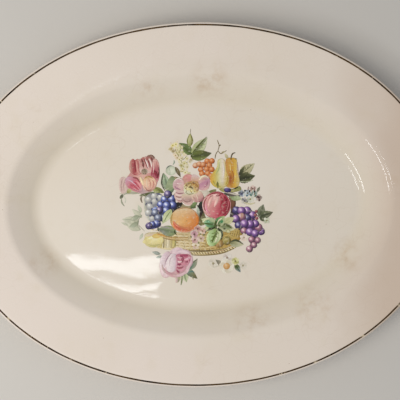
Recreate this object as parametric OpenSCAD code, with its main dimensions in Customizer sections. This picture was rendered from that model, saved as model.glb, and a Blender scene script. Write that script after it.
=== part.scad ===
// Oval serving platter of glazed earthenware: a broad rim, a sloping verge, a flat floor
// and a foot ring, with a gilt line round the edge and a fired-on basket of fruit and
// flowers in the well. Millimetres, +Z up, origin on the table under the middle.

/* [Outline] */
// Length of the oval, edge to edge
platter_length = 343; // [285:1:420]
// Width of the oval, edge to edge
platter_width = 256; // [213:1:310]
// Height of the edge above the table
platter_height = 29; // [25:0.5:36]

/* [Rim and verge] */
// Width of the rim, from the edge to the turn of the verge
rim_width = 35; // [28:0.5:42]
// How far the rim climbs from the turn to the edge
rim_rise = 6.5; // [4:0.25:9]
// Width of the sloping verge between rim and floor
verge_width = 18; // [15:0.5:22]
// Radius of the rounded turn from rim to verge
turn_radius = 10; // [7:0.5:13]
// Radius of the hollow curve from verge to floor
hollow_radius = 14; // [10:0.5:18]
// Thickness of the clay at the turn of the verge
wall_thickness = 4; // [3:0.1:5]
// Thickness of the rounded lip at the very edge
lip_thickness = 2.4; // [1.8:0.1:3]

/* [Floor and foot ring] */
// Thickness of the floor
floor_thickness = 5; // [4:0.1:6]
// Height of the foot ring below the floor
foot_height = 3; // [2:0.1:4]
// Width of the foot ring where it stands
foot_width = 2.4; // [1.8:0.1:3.2]
// Slope of each side of the foot ring, as a width
foot_batter = 0.8; // [0.5:0.1:1.2]
// Distance from the verge's lower edge in to the foot ring
foot_inset = 3; // [2:0.5:8]

/* [Gilt line] */
// Width of the gilt line
gilt_width = 1.1; // [0.8:0.1:2]
// Strip of bare glaze between the rounded lip and the gilt line
gilt_clearance = 0.1; // [0.05:0.05:1]
// Thickness of the gilding, drawn heavier than the real leaf
gilt_thickness = 0.12; // [0.08:0.02:0.2]

/* [Print] */
// Clear floor above and below the print
print_margin = 14; // [10:0.5:22]
// Turn of the print in the well, in degrees
print_turn = -1; // [-4:0.5:4]
// Thickness of the enamel, drawn heavier than the real film
film_thickness = 0.1; // [0.06:0.02:0.2]
// Bare glaze left between one patch of enamel and the next
film_gap = 0.15; // [0.1:0.05:0.3]
// Narrowest strip of enamel that is kept
film_least = 0.3; // [0.2:0.05:0.5]

/* [Backstamp] */
// Diameter of the ring of dots under the floor
stamp_diameter = 26; // [16:1:40]
// Diameter of each dot
stamp_dot = 1.4; // [0.8:0.1:2]
// Number of dots
stamp_dots = 16; // [8:1:24]

/* [Hidden] */
// Patches of the print from the hindmost to the foremost
PRINT = ["faded_spray", "wicker_basket", "lemon", "tendril", "top_leaves", "blossom_spray",
    "white_bud", "tulip_leaves", "parrot_tulip", "fruit_leaves", "orange_berries", "pears",
    "forget_me_nots", "pale_grapes", "dark_foliage", "blue_grapes", "under_leaf", "apricot",
    "wild_rose", "violet", "red_apple", "purple_grapes", "ivy_sprig", "gold_plums",
    "lobed_leaf", "basket_blossoms", "rose_leaves", "cabbage_rose", "daisy_spray"];

// Stations round the oval, and points in a rounded corner of the section
stations = 96;
corner_points = 5;
lip_points = 6;

half_length = platter_length / 2;
half_width = platter_width / 2;
lip_radius = lip_thickness / 2;
floor_top = foot_height + floor_thickness;

// Corners of the section, as [distance in from the edge, height]
edge_top = [lip_radius, platter_height];
turn_corner = [rim_width, platter_height - rim_rise];
floor_corner = [rim_width + verge_width, floor_top];
rim_angle = atan2(turn_corner.y - edge_top.y, turn_corner.x - edge_top.x);
verge_angle = atan2(floor_corner.y - turn_corner.y, floor_corner.x - turn_corner.x);

// The underside's corner below a corner of the top, through clay of a given thickness
function under(corner, before, after, thickness) =
    let (slope = (before + after) / 2, reach = thickness / cos((before - after) / 2))
    corner + reach * [sin(slope), -cos(slope)];

turn_under = under(turn_corner, rim_angle, verge_angle, wall_thickness);
floor_under = under(floor_corner, verge_angle, 0, floor_thickness);
edge_under = edge_top - [0, lip_thickness];

// Points of an arc of a given radius that rounds the corner b between a and c
function rounded(a, b, c, radius) =
    let (
        to_a = (a - b) / norm(a - b),
        to_c = (c - b) / norm(c - b),
        half = acos(to_a * to_c) / 2,
        way = (to_a + to_c) / norm(to_a + to_c),
        middle = b + way * radius / sin(half),
        start = b + to_a * radius / tan(half) - middle,
        turn = (to_a.x * to_c.y - to_a.y * to_c.x > 0 ? -1 : 1) * (180 - 2 * half)
    )
    [for (i = [0 : corner_points - 1])
        let (angle = turn * i / (corner_points - 1))
        middle + [start.x * cos(angle) - start.y * sin(angle), start.x * sin(angle) + start.y * cos(angle)]];

function on_line(a, b, x) = [x, a.y + (b.y - a.y) * (x - a.x) / (b.x - a.x)];

turn_arc = rounded(edge_top, turn_corner, floor_corner, turn_radius);
floor_arc = rounded(turn_corner, floor_corner, floor_corner + [hollow_radius, 0], hollow_radius);
turn_under_arc = rounded(edge_under, turn_under, floor_under, turn_radius - wall_thickness);
foot_out = rim_width + verge_width + foot_inset;
foot_in = foot_out + 2 * foot_batter + foot_width;
floor_edge = floor_arc[corner_points - 1].x;

gilt_out = lip_radius + gilt_clearance;
gilt_edges = [for (x = [gilt_out, gilt_out + gilt_width]) on_line(edge_top, turn_corner, x)];

// The lip is a half round from the underside of the edge to its top
lip_arc = [for (i = [0 : lip_points])
    let (angle = 180 * i / lip_points)
    [lip_radius, platter_height - lip_radius] + lip_radius * [-sin(angle), cos(angle)]];

// The whole section, from the floor of the well over the lip and back to the recess
section = concat(
    [for (i = [corner_points - 1 : -1 : 0]) floor_arc[i]],
    [for (i = [corner_points - 1 : -1 : 0]) turn_arc[i]],
    [gilt_edges[1], gilt_edges[0]],
    lip_arc,
    turn_under_arc,
    [floor_under,
     [foot_out, foot_height],
     [foot_out + foot_batter, 0],
     [foot_in - foot_batter, 0],
     [foot_in, foot_height]]);
gilt_first = 2 * corner_points;

// One ring of points round the oval, at a distance in from the edge and a height
function ring(place) = [for (i = [0 : stations - 1])
    let (angle = 360 * i / stations)
    [(half_length - place.x) * cos(angle), (half_width - place.x) * sin(angle), place.y]];

// Triangles that join ring a to ring b
function join(a, b) = [for (i = [0 : stations - 1])
    let (next = (i + 1) % stations, p = a * stations, q = b * stations)
    each [[p + i, p + next, q + next], [p + i, q + next, q + i]]];

module platter_body() {
    last = len(section) - 1;
    color("#e2d8c4")
    polyhedron(
        points = [for (place = section) each ring(place)],
        faces = concat(
            [[for (i = [stations - 1 : -1 : 0]) i]],
            [for (r = [0 : last - 1]) each join(r, r + 1)],
            [[for (i = [0 : stations - 1]) last * stations + i]]));
}

module gilt_rim_line() {
    lift = [0, gilt_thickness];
    inner = section[gilt_first];
    outer = section[gilt_first + 1];
    color("#4a3823")
    polyhedron(
        points = [for (place = [inner, outer, outer + lift, inner + lift]) each ring(place)],
        faces = [for (r = [0 : 3]) each [for (face = join(r, (r + 1) % 4)) [face[2], face[1], face[0]]]]);
}

// Sides of a rounded patch of enamel, of a small one, and steps along a leaf's edge
dab_sides = 24;
small_dab_sides = 12;
small_dab = 5;
leaf_steps = 8;
strand_sides = 8;

// A rounded patch: petals, fruit and open washes
module dab(at, long, wide, turn = 0) {
    sides = long > small_dab ? dab_sides : small_dab_sides;
    translate(at)
    rotate(turn)
    polygon([for (i = [0 : sides - 1])
        let (angle = 360 * i / sides) [long / 2 * cos(angle), wide / 2 * sin(angle)]]);
}

// A pointed leaf that starts at its stalk and runs out along its turn
module leaf(at, long, wide, turn, widest = 0.42) {
    power = ln(0.5) / ln(widest);
    edge = [for (i = [0 : leaf_steps])
        let (share = i / leaf_steps) [long * share, wide / 2 * sin(180 * pow(share, power))]];
    translate(at)
    rotate(turn)
    polygon(concat(edge, [for (i = [leaf_steps - 1 : -1 : 1]) [edge[i].x, -edge[i].y]]));
}

// A thin stalk or tendril through a few points
module strand(points, wide)
    for (i = [0 : len(points) - 2])
        hull() {
            translate(points[i]) circle(d = wide, $fn = strand_sides);
            translate(points[i + 1]) circle(d = wide, $fn = strand_sides);
        }

// Round fruit of one size
module fruit(spots, radius)
    for (spot = spots)
        dab(spot, 2 * radius, 2 * radius);

// A small open flower: petals round an eye
module flower(at, radius, petals = 5, turn = 90) {
    for (i = [0 : petals - 1]) {
        angle = turn + 360 * i / petals;
        dab(at + radius * 0.55 * [cos(angle), sin(angle)], radius * 0.9, radius * 0.9, angle);
    }
    dab(at, radius, radius);
}

// A pear: a round body drawn in to a neck
module pear(body, radius, neck, neck_radius)
    hull() {
        dab(body, 2 * radius, 2 * radius);
        dab(neck, 2 * neck_radius, 2 * neck_radius);
    }

// The drawn print is this high above and below the middle of the well
drawn_half_height = 56;
print_scale = (half_width - floor_edge - print_margin) / drawn_half_height;

// Draws one patch of the print by its name, before anything in front of it is cut away
module patch(name) {
    if (name == "faded_spray") {
        leaf([-43, -18], 14, 6, 150);
        leaf([-44, -12], 13, 5.5, 172);
        leaf([-42, -9], 10, 4, 140);
        strand([[-40, -19], [-44, -15], [-50, -9]], 0.8);
    }
    if (name == "wicker_basket") {
        intersection() {
            dab([-4, -19.5], 72, 31);
            translate([-40, -36]) square([72, 18]);
        }
        difference() {
            dab([5, -29], 48, 17);
            dab([5, -27.6], 52, 14.8);
        }
    }
    if (name == "lemon") dab([-33.5, -26], 15.5, 9, 4);
    if (name == "tendril") {
        strand([[12.6, 47.6], [13.9, 44], [13.2, 39.6], [16.6, 38.2], [19.4, 39.6]], 0.8);
        strand([[13.2, 39.6], [11.4, 36.8], [11, 33.6]], 0.8);
    }
    if (name == "top_leaves") {
        leaf([-6, 37], 12, 7.6, 138);
        leaf([-7.4, 42.6], 9.8, 4.6, 87);
        leaf([-6, 37], 16.8, 7.2, 49);
        leaf([-6.6, 35], 15.4, 7, 9);
        strand([[-7, 51], [-6.6, 55.4]], 0.7);
    }
    if (name == "blossom_spray") {
        fruit([[-19.6, 43.2], [-19.2, 40], [-15, 38.4], [-17.6, 36.2], [-14.8, 33.4],
            [-11.4, 30.4], [-7.2, 31.6], [-12.6, 26.4], [-10.6, 23.4]], 1.8);
        strand([[-10.6, 23.4], [-12, 29], [-15, 34.6], [-18, 41]], 0.8);
    }
    if (name == "white_bud") {
        dab([-21, 25.2], 7.4, 6.8);
        leaf([-17.8, 28], 8.4, 2.8, -63);
    }
    if (name == "tulip_leaves") {
        leaf([-22.4, 9.6], 14.6, 5.4, 106);
        leaf([-20.6, 8.6], 11, 3.6, 84);
        leaf([-13.8, 18.4], 8.4, 3, 167);
        leaf([-26, 9], 9.6, 3.4, 150);
        leaf([-43, 9.6], 15.4, 5.4, 184);
        leaf([-34, 8.6], 10.4, 4.4, 190);
    }
    if (name == "parrot_tulip") {
        dab([-55, 16.4], 10.6, 6.4, 76);
        dab([-47, 26.8], 12.8, 9.6, 82);
        dab([-48.4, 18], 11.4, 9, 155);
        dab([-31.6, 24.8], 14.4, 7.6, 84);
        dab([-37.4, 29.8], 11.4, 10, 105);
        dab([-39, 17.6], 13, 11, 15);
    }
    if (name == "fruit_leaves") {
        leaf([28.6, 21.6], 14.4, 7.4, 38);
        leaf([27, 18.4], 13.6, 7.4, 13);
    }
    if (name == "orange_berries")
        fruit([[-3.2, 28.9], [-0.6, 29.6], [2.5, 29.4], [5.6, 31.8], [8.8, 32], [6.9, 28.9],
            [0.7, 25.9], [5, 26.2], [8.7, 26], [1.6, 22.9], [5.8, 23], [8.2, 21.2]], 2.1);
    if (name == "pears") {
        pear([23.2, 18.6], 5.6, [23.9, 30.8], 3.2);
        pear([14.4, 19.8], 7.2, [15.8, 31.2], 2.8);
        strand([[22.6, 33], [23, 35.8], [25.6, 38]], 1);
    }
    if (name == "forget_me_nots")
        for (spot = [[38.2, 12], [30.4, 8.4], [34.8, 8.8], [39.6, 8.2], [43, 5.2], [36.6, 4.4], [32.4, 3.4]])
            flower(spot, 2.8);
    if (name == "pale_grapes")
        fruit([[-37.4, 3.8], [-32.8, 2.6], [-28.6, 4.8], [-36.2, -1], [-37.2, -5.6], [-34.4, -9.6]], 2.5);
    if (name == "dark_foliage") {
        leaf([-26, -6], 17, 6.4, 32);
        leaf([1, 3.4], 12.6, 4, -92);
        leaf([-6.4, -2.4], 7, 3.4, 48);
        leaf([23.4, -3], 9.4, 3.8, 78);
        leaf([17.4, 8.8], 11, 3.2, -8);
        leaf([21.6, 6.4], 9, 4.6, -12);
    }
    if (name == "blue_grapes")
        fruit([[-23.2, 8], [-20.4, 4.4], [-25.6, 4.2], [-19.6, 0], [-24, -0.2], [-28.4, 0.4],
            [-24.8, -4.8], [-29.6, -4], [-32.6, -6.4], [-29.8, -9], [-26.2, -10], [-31.4, -13.2],
            [-36.6, -15]], 2.7);
    if (name == "under_leaf") leaf([-16.8, -20], 14, 7.8, 168);
    if (name == "apricot") dab([-11, -10.7], 21.4, 18.4);
    if (name == "wild_rose") {
        dab([-14.6, 6], 9.4, 8.4, 40);
        dab([-8.2, 3], 9.4, 8.4, 80);
        dab([-1.8, 7.2], 9.8, 8.4, -40);
        dab([-3, 19], 8, 7, 70);
        dab([2.6, 16.4], 9.6, 8.8, 20);
        dab([-15.4, 13.2], 10.8, 9.8, 0);
        dab([-9.2, 19.2], 9.8, 9, 110);
        dab([-6.7, 12], 9, 8);
    }
    if (name == "violet") dab([20.2, 11], 5.4, 3.6);
    if (name == "red_apple") dab([12.2, 0], 21.2, 19.8);
    if (name == "purple_grapes") {
        fruit([[26.6, -3.8], [30.7, -4.2], [34.6, -3.8], [38, -7.2], [26.4, -10], [30.6, -9.4],
            [34.6, -9.6], [28.6, -14.8], [32.8, -13.8], [36.8, -14], [40.8, -14], [43, -16.8],
            [44.6, -19.4], [36.6, -19.6], [40.4, -20.4], [32.4, -18.8]], 2.8);
        fruit([[37.6, -25], [42.2, -25.6], [39.8, -29.2], [36.4, -32.2]], 2.3);
        strand([[38, -22], [38, -30]], 0.8);
    }
    if (name == "ivy_sprig") {
        leaf([43.4, -8.4], 9.6, 5.4, 72);
        leaf([43.4, -8.4], 10.4, 5.4, 18);
        leaf([43.4, -8.4], 6.6, 3.8, -28);
        fruit([[41.2, -4.6], [41.6, -9.4]], 1.3);
        flower([48.8, -11.2], 2.4);
    }
    if (name == "gold_plums") {
        dab([25, -20.8], 10, 7, 14);
        leaf([21.6, -28], 10.4, 4.8, -4);
        fruit([[19.6, -25.8], [14.4, -28]], 3.1);
    }
    if (name == "lobed_leaf") {
        leaf([13, -15], 13.4, 8, 160);
        leaf([11, -16], 14.6, 8, 22);
        leaf([11, -15], 14, 7, -10);
        leaf([13, -15], 10.4, 5.4, 202);
        leaf([12.6, -13.6], 18.8, 12, -106);
    }
    if (name == "basket_blossoms")
        for (spot = [[-3, -29.4], [0.8, -24.4], [-3.6, -25.4], [1.8, -18.8], [-1.6, -17.4], [-3.8, -21.2]])
            flower(spot, 2.8);
    if (name == "rose_leaves") {
        leaf([-15, -49], 7.6, 3.8, -98);
        leaf([-12.6, -47], 9.8, 5.8, -72);
        leaf([-11, -46], 12, 5, -40);
        leaf([-7, -47], 9.4, 3.8, 56);
    }
    if (name == "cabbage_rose") {
        dab([-23.6, -43.4], 18.6, 12, 84);
        dab([-11.8, -40.2], 16, 12, 70);
        dab([-16.4, -35.6], 13, 9.4, 10);
        dab([-19.4, -48.4], 14, 8.4, -16);
        dab([-12.4, -46.4], 10, 9, 30);
    }
    if (name == "daisy_spray") {
        flower([9.8, -42.6], 3.6, 7);
        leaf([17.4, -44.4], 7.6, 3.4, 142);
        leaf([25.6, -43], 7.4, 3.8, -56);
        flower([20, -38.6], 3.4, 6);
        flower([31.6, -44.2], 3, 6);
        flower([19.6, -44.6], 5.2, 9);
        flower([26, -41], 2.8, 6);
    }
}

// A patch laid in the well: turned and sized with the print
module laid(name)
    rotate(print_turn)
    scale(print_scale)
    patch(name);

// The enamel film of one patch, cut clear of every patch in front of it
module film(name) {
    place = search([name], PRINT)[0];
    translate([0, 0, floor_top])
    linear_extrude(film_thickness)
    offset(r = film_least / 2, $fn = strand_sides)
    offset(delta = -film_least / 2)
    difference() {
        laid(name);
        offset(delta = film_gap)
        for (k = [place + 1 : 1 : len(PRINT) - 1])
            laid(PRINT[k]);
    }
}

module faded_spray() color("#b9bda0") film("faded_spray");
module wicker_basket() color("#c9a95c") film("wicker_basket");
module lemon() color("#e3d48f") film("lemon");
module tendril() color("#8a7454") film("tendril");
module top_leaves() color("#7c9450") film("top_leaves");
module blossom_spray() color("#dccf96") film("blossom_spray");
module white_bud() color("#d5dcc4") film("white_bud");
module tulip_leaves() color("#8fa883") film("tulip_leaves");
module parrot_tulip() color("#c9716f") film("parrot_tulip");
module fruit_leaves() color("#4f5f2f") film("fruit_leaves");
module orange_berries() color("#d9763f") film("orange_berries");
module pears() color("#dcc04c") film("pears");
module forget_me_nots() color("#aebdbb") film("forget_me_nots");
module pale_grapes() color("#b9b9b4") film("pale_grapes");
module dark_foliage() color("#2f2a1e") film("dark_foliage");
module blue_grapes() color("#4b4f86") film("blue_grapes");
module under_leaf() color("#8fa080") film("under_leaf");
module apricot() color("#dc9a58") film("apricot");
module wild_rose() color("#dcaeb0") film("wild_rose");
module violet() color("#4a3f86") film("violet");
module red_apple() color("#bb4c58") film("red_apple");
module purple_grapes() color("#69416f") film("purple_grapes");
module ivy_sprig() color("#717c5a") film("ivy_sprig");
module gold_plums() color("#b99a48") film("gold_plums");
module lobed_leaf() color("#b3c47e") film("lobed_leaf");
module basket_blossoms() color("#d3abb2") film("basket_blossoms");
module rose_leaves() color("#8faa90") film("rose_leaves");
module cabbage_rose() color("#d99aae") film("cabbage_rose");
module daisy_spray() color("#e0cf8e") film("daisy_spray");

// A plain maker's device under the floor: a ring of dots round a four-petalled flower
module backstamp() {
    color("#3d4f78")
    translate([0, 0, foot_height - film_thickness])
    linear_extrude(film_thickness) {
        for (i = [0 : stamp_dots - 1])
            rotate(360 * i / stamp_dots)
            translate([stamp_diameter / 2, 0])
            circle(d = stamp_dot, $fn = dab_sides);
        for (i = [0 : 3])
            rotate(90 * i)
            translate([stamp_diameter / 5, 0])
            circle(d = stamp_diameter / 5, $fn = dab_sides);
    }
}

platter_body();
gilt_rim_line();
backstamp();
faded_spray();
wicker_basket();
lemon();
tendril();
top_leaves();
blossom_spray();
white_bud();
tulip_leaves();
parrot_tulip();
fruit_leaves();
orange_berries();
pears();
forget_me_nots();
pale_grapes();
dark_foliage();
blue_grapes();
under_leaf();
apricot();
wild_rose();
violet();
red_apple();
purple_grapes();
ivy_sprig();
gold_plums();
lobed_leaf();
basket_blossoms();
rose_leaves();
cabbage_rose();
daisy_spray();
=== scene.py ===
import math
import random

import bpy
import numpy as np
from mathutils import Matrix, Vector


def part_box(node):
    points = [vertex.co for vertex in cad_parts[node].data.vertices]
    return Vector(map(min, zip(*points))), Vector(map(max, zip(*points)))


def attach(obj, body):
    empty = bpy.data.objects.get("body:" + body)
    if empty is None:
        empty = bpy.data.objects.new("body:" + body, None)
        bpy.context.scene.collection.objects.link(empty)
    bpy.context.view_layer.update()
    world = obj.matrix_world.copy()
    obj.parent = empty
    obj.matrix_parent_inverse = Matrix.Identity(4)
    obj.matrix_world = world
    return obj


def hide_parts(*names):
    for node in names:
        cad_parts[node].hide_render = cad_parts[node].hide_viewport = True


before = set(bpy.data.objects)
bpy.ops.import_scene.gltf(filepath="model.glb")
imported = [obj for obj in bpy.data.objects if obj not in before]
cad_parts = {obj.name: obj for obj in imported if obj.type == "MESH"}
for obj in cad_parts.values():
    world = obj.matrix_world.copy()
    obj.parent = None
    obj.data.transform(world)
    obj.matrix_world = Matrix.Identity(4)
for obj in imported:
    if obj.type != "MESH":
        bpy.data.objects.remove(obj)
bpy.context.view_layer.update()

# ---------------------------------------------------------------------------------------
# Platter body. One piece of pressed earthenware, fired, dipped in a clear glaze that has
# aged to ivory, and fired again on its foot ring, which is wiped bare. Everything else is
# painted on it.

mm = 0.001
body_low, body_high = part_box("platter_body")
middle_x = (body_low.x + body_high.x) / 2
middle_y = (body_low.y + body_high.y) / 2
half_length = (body_high.x - body_low.x) / 2
half_width = (body_high.y - body_low.y) / 2
height = body_high.z - body_low.z

# The section, as [distance in from the edge, height above the table]
rim_width = 35 * mm
rim_rise = 6.5 * mm
verge_width = 18 * mm
turn_radius = 10 * mm
hollow_radius = 14 * mm
wall_thickness = 4 * mm
lip_radius = 1.2 * mm
floor_thickness = 5 * mm
foot_height = 3 * mm
foot_inset = 3 * mm
foot_batter = 0.8 * mm
foot_width = 2.4 * mm
foot_round = 0.5 * mm
floor_top = foot_height + floor_thickness


def corner_under(corner, before, after, thickness):
    """The underside's corner below a corner of the top."""
    slope = (before + after) / 2
    reach = thickness / math.cos((before - after) / 2)
    return corner + reach * np.array([math.sin(slope), -math.cos(slope)])


def rounded(a, b, c, radius, points=12):
    """Points of the arc that rounds corner b on the way from a to c."""
    to_a = (a - b) / np.linalg.norm(a - b)
    to_c = (c - b) / np.linalg.norm(c - b)
    half = math.acos(float(to_a @ to_c)) / 2
    way = (to_a + to_c) / np.linalg.norm(to_a + to_c)
    centre = b + way * radius / math.sin(half)
    start = b + to_a * radius / math.tan(half) - centre
    side = -1 if to_a[0] * to_c[1] - to_a[1] * to_c[0] > 0 else 1
    arc = []
    for i in range(points):
        angle = side * (math.pi - 2 * half) * i / (points - 1)
        turned = np.array([start[0] * math.cos(angle) - start[1] * math.sin(angle),
                           start[0] * math.sin(angle) + start[1] * math.cos(angle)])
        arc.append(centre + turned)
    return arc


def angle_of(a, b):
    return math.atan2(b[1] - a[1], b[0] - a[0])


edge_top = np.array([lip_radius, height])
turn_corner = np.array([rim_width, height - rim_rise])
floor_corner = np.array([rim_width + verge_width, floor_top])
rim_angle = angle_of(edge_top, turn_corner)
verge_angle = angle_of(turn_corner, floor_corner)
turn_under = corner_under(turn_corner, rim_angle, verge_angle, wall_thickness)
floor_under = corner_under(floor_corner, verge_angle, 0, floor_thickness)
edge_under = edge_top - [0, 2 * lip_radius]
inward = np.array([20 * mm, 0])
foot_out = rim_width + verge_width + foot_inset
foot_in = foot_out + 2 * foot_batter + foot_width

lip_arc = []
for step in range(13):
    angle = math.pi * step / 12
    lip_arc.append([lip_radius - lip_radius * math.sin(angle),
                    height - lip_radius + lip_radius * math.cos(angle)])

foot_corners = [np.array(p) for p in (
    [foot_out - 6 * mm, foot_height], [foot_out, foot_height], [foot_out + foot_batter, 0],
    [foot_in - foot_batter, 0], [foot_in, foot_height], [foot_in + 6 * mm, foot_height])]
foot_arc = []
for before, corner, after in zip(foot_corners, foot_corners[1:], foot_corners[2:]):
    foot_arc += rounded(before, corner, after, foot_round, 5)

top_line = rounded(edge_top, turn_corner, floor_corner, turn_radius, 14)
top_line += rounded(turn_corner, floor_corner, floor_corner + inward, hollow_radius, 16)
top_line = [edge_top + (top_line[0] - edge_top) * k / 10 for k in range(1, 10)] + top_line
under_line = rounded(edge_under, turn_under, floor_under, turn_radius - wall_thickness, 8)
under_line += rounded(turn_under, floor_under, floor_under + inward, 2 * mm, 5)
section = np.array(top_line[::-1] + lip_arc + under_line + foot_arc)


def oval(inset, level, stations, turn=0.0):
    """A ring of points round the oval, at a distance in from the edge and a level."""
    around = np.linspace(0, 2 * math.pi, stations, endpoint=False) + turn
    return np.stack([middle_x + (half_length - inset) * np.cos(around),
                     middle_y + (half_width - inset) * np.sin(around),
                     np.broadcast_to(level, around.shape)], axis=1)


def warp(x, y):
    """How far the rim has moved up or down in the kiln, at a place on it."""
    around = np.arctan2((y - middle_y) / half_width, (x - middle_x) / half_length)
    reach = np.hypot((y - middle_y) / half_width, (x - middle_x) / half_length)
    share = np.clip((reach - 0.74) / 0.26, 0, 1) ** 1.5
    return -0.12 * mm * share * (1.2 + np.sin(2 * around + 0.7) + 0.6 * np.sin(3 * around + 2.1))


def new_mesh(name, vertices, faces, smooth=True):
    mesh = bpy.data.meshes.new(name)
    mesh.from_pydata([tuple(v) for v in vertices], [], faces)
    mesh.polygons.foreach_set("use_smooth", [smooth] * len(mesh.polygons))
    mesh.update()
    return mesh


def put(name, mesh, material, node):
    """Hangs a finished mesh in the frame in place of its CAD node."""
    mesh.materials.append(material)
    piece = bpy.data.objects.new(name, mesh)
    bpy.context.collection.objects.link(piece)
    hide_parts(node)
    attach(piece, "root")
    return piece


def joined(rings, stations):
    """Faces that join each ring of points to the next."""
    faces = []
    for ring in range(rings - 1):
        for i in range(stations):
            after = (i + 1) % stations
            p, q = ring * stations, (ring + 1) * stations
            faces.append((p + i, q + i, q + after, p + after))
    return faces


body_stations = 288
rings = [oval(inset, level, body_stations) for inset, level in section]
body_points = np.concatenate(rings)
body_points[:, 2] += warp(body_points[:, 0], body_points[:, 1])
body_faces = joined(len(section), body_stations)
body_faces.append(tuple(range(body_stations)))
last_ring = (len(section) - 1) * body_stations
body_faces.append(tuple(last_ring + i for i in range(body_stations - 1, -1, -1)))
body_mesh = new_mesh("platter_body", body_points, body_faces)

# Where the glaze gathered: most of it in the hollow between verge and floor
pooled = np.exp(-((section[:, 0] - rim_width - verge_width + 2 * mm) / (5 * mm)) ** 2)
pooled *= section[:, 1] > foot_height + 0.1 * mm
body_mesh.attributes.new("pooled", "FLOAT", "POINT").data.foreach_set(
    "value", np.repeat(pooled, body_stations).astype(np.float32))


def pigment(code):
    """A colour given as a hex code, as the shaders need it."""
    shares = [int(code[i:i + 2], 16) / 255 for i in (1, 3, 5)]
    return tuple(s / 12.92 if s <= 0.04045 else ((s + 0.055) / 1.055) ** 2.4 for s in shares)


class Shade:
    """A value that varies over a surface. Sums on it become Math nodes of its finish."""

    def __init__(self, finish, socket):
        self.finish, self.socket = finish, socket

    def math(self, operation, first, second=0.0):
        return self.finish.node("Math", {"operation": operation}, {0: first, 1: second})

    def __add__(self, other):
        return self.math("ADD", self, other)

    def __radd__(self, other):
        return self.math("ADD", other, self)

    def __sub__(self, other):
        return self.math("SUBTRACT", self, other)

    def __rsub__(self, other):
        return self.math("SUBTRACT", other, self)

    def __mul__(self, other):
        return self.math("MULTIPLY", self, other)

    def __rmul__(self, other):
        return self.math("MULTIPLY", other, self)

    def __truediv__(self, other):
        return self.math("DIVIDE", self, other)

    def __pow__(self, other):
        return self.math("POWER", self, other)

    def __lt__(self, other):
        return self.math("LESS_THAN", self, other)

    def __gt__(self, other):
        return self.math("GREATER_THAN", self, other)


class Finish:
    """A surface finish, built up node by node."""

    def __init__(self, name):
        self.material = bpy.data.materials.new(name)
        self.material.use_nodes = True
        self.tree = self.material.node_tree
        self.tree.nodes.clear()

    def node(self, kind, settings=None, sockets=None, out=0):
        """Adds a node: its type, its settings, then the values or links of its sockets."""
        node = self.tree.nodes.new("ShaderNode" + kind)
        for name, value in (settings or {}).items():
            setattr(node, name, value)
        for name, value in (sockets or {}).items():
            if isinstance(value, Shade):
                self.tree.links.new(value.socket, node.inputs[name])
            else:
                node.inputs[name].default_value = value
        return Shade(self, node.outputs[out]) if node.outputs else node

    def place(self):
        """Where a point of the surface is, in metres."""
        return self.node("TexCoord", out="Object")

    def noise(self, scale, detail=3.0, vector=None, rough=0.5):
        sockets = {"Scale": scale, "Detail": detail, "Roughness": rough}
        sockets["Vector"] = vector or self.place()
        return self.node("TexNoise", None, sockets)

    def between(self, value, low, high):
        """0 up to low, 1 from high, and a soft step in between."""
        return self.node("MapRange", {"interpolation_type": "SMOOTHSTEP"},
                         {"Value": value, "From Min": low, "From Max": high})

    def mix(self, share, first, second):
        """Colours first and second, mixed by share."""
        def whole(colour):
            return colour if isinstance(colour, Shade) else (*colour[:3], 1.0)

        return self.node("Mix", {"data_type": "RGBA"},
                         {0: share, 6: whole(first), 7: whole(second)}, out=2)

    def glassy(self, colour, roughness, bump=None, metallic=None):
        """Ends the finish: a glossy coat over a colour."""
        sockets = {"Base Color": colour, "Roughness": roughness, "IOR": 1.52}
        if bump is not None:
            sockets["Normal"] = bump
        if metallic is not None:
            sockets["Metallic"] = metallic
        surface = self.node("BsdfPrincipled", None, sockets)
        self.node("OutputMaterial", None, {"Surface": surface})
        return self.material

    def ripple(self, fine=None):
        """The slow ripple of a dipped glaze, with any finer relief on top."""
        slow = self.noise(26.0, 1.0) * 0.00035
        relief = slow if fine is None else slow + fine
        return self.node("Bump", None, {"Strength": 1.0, "Distance": 1.0, "Height": relief})


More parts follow.
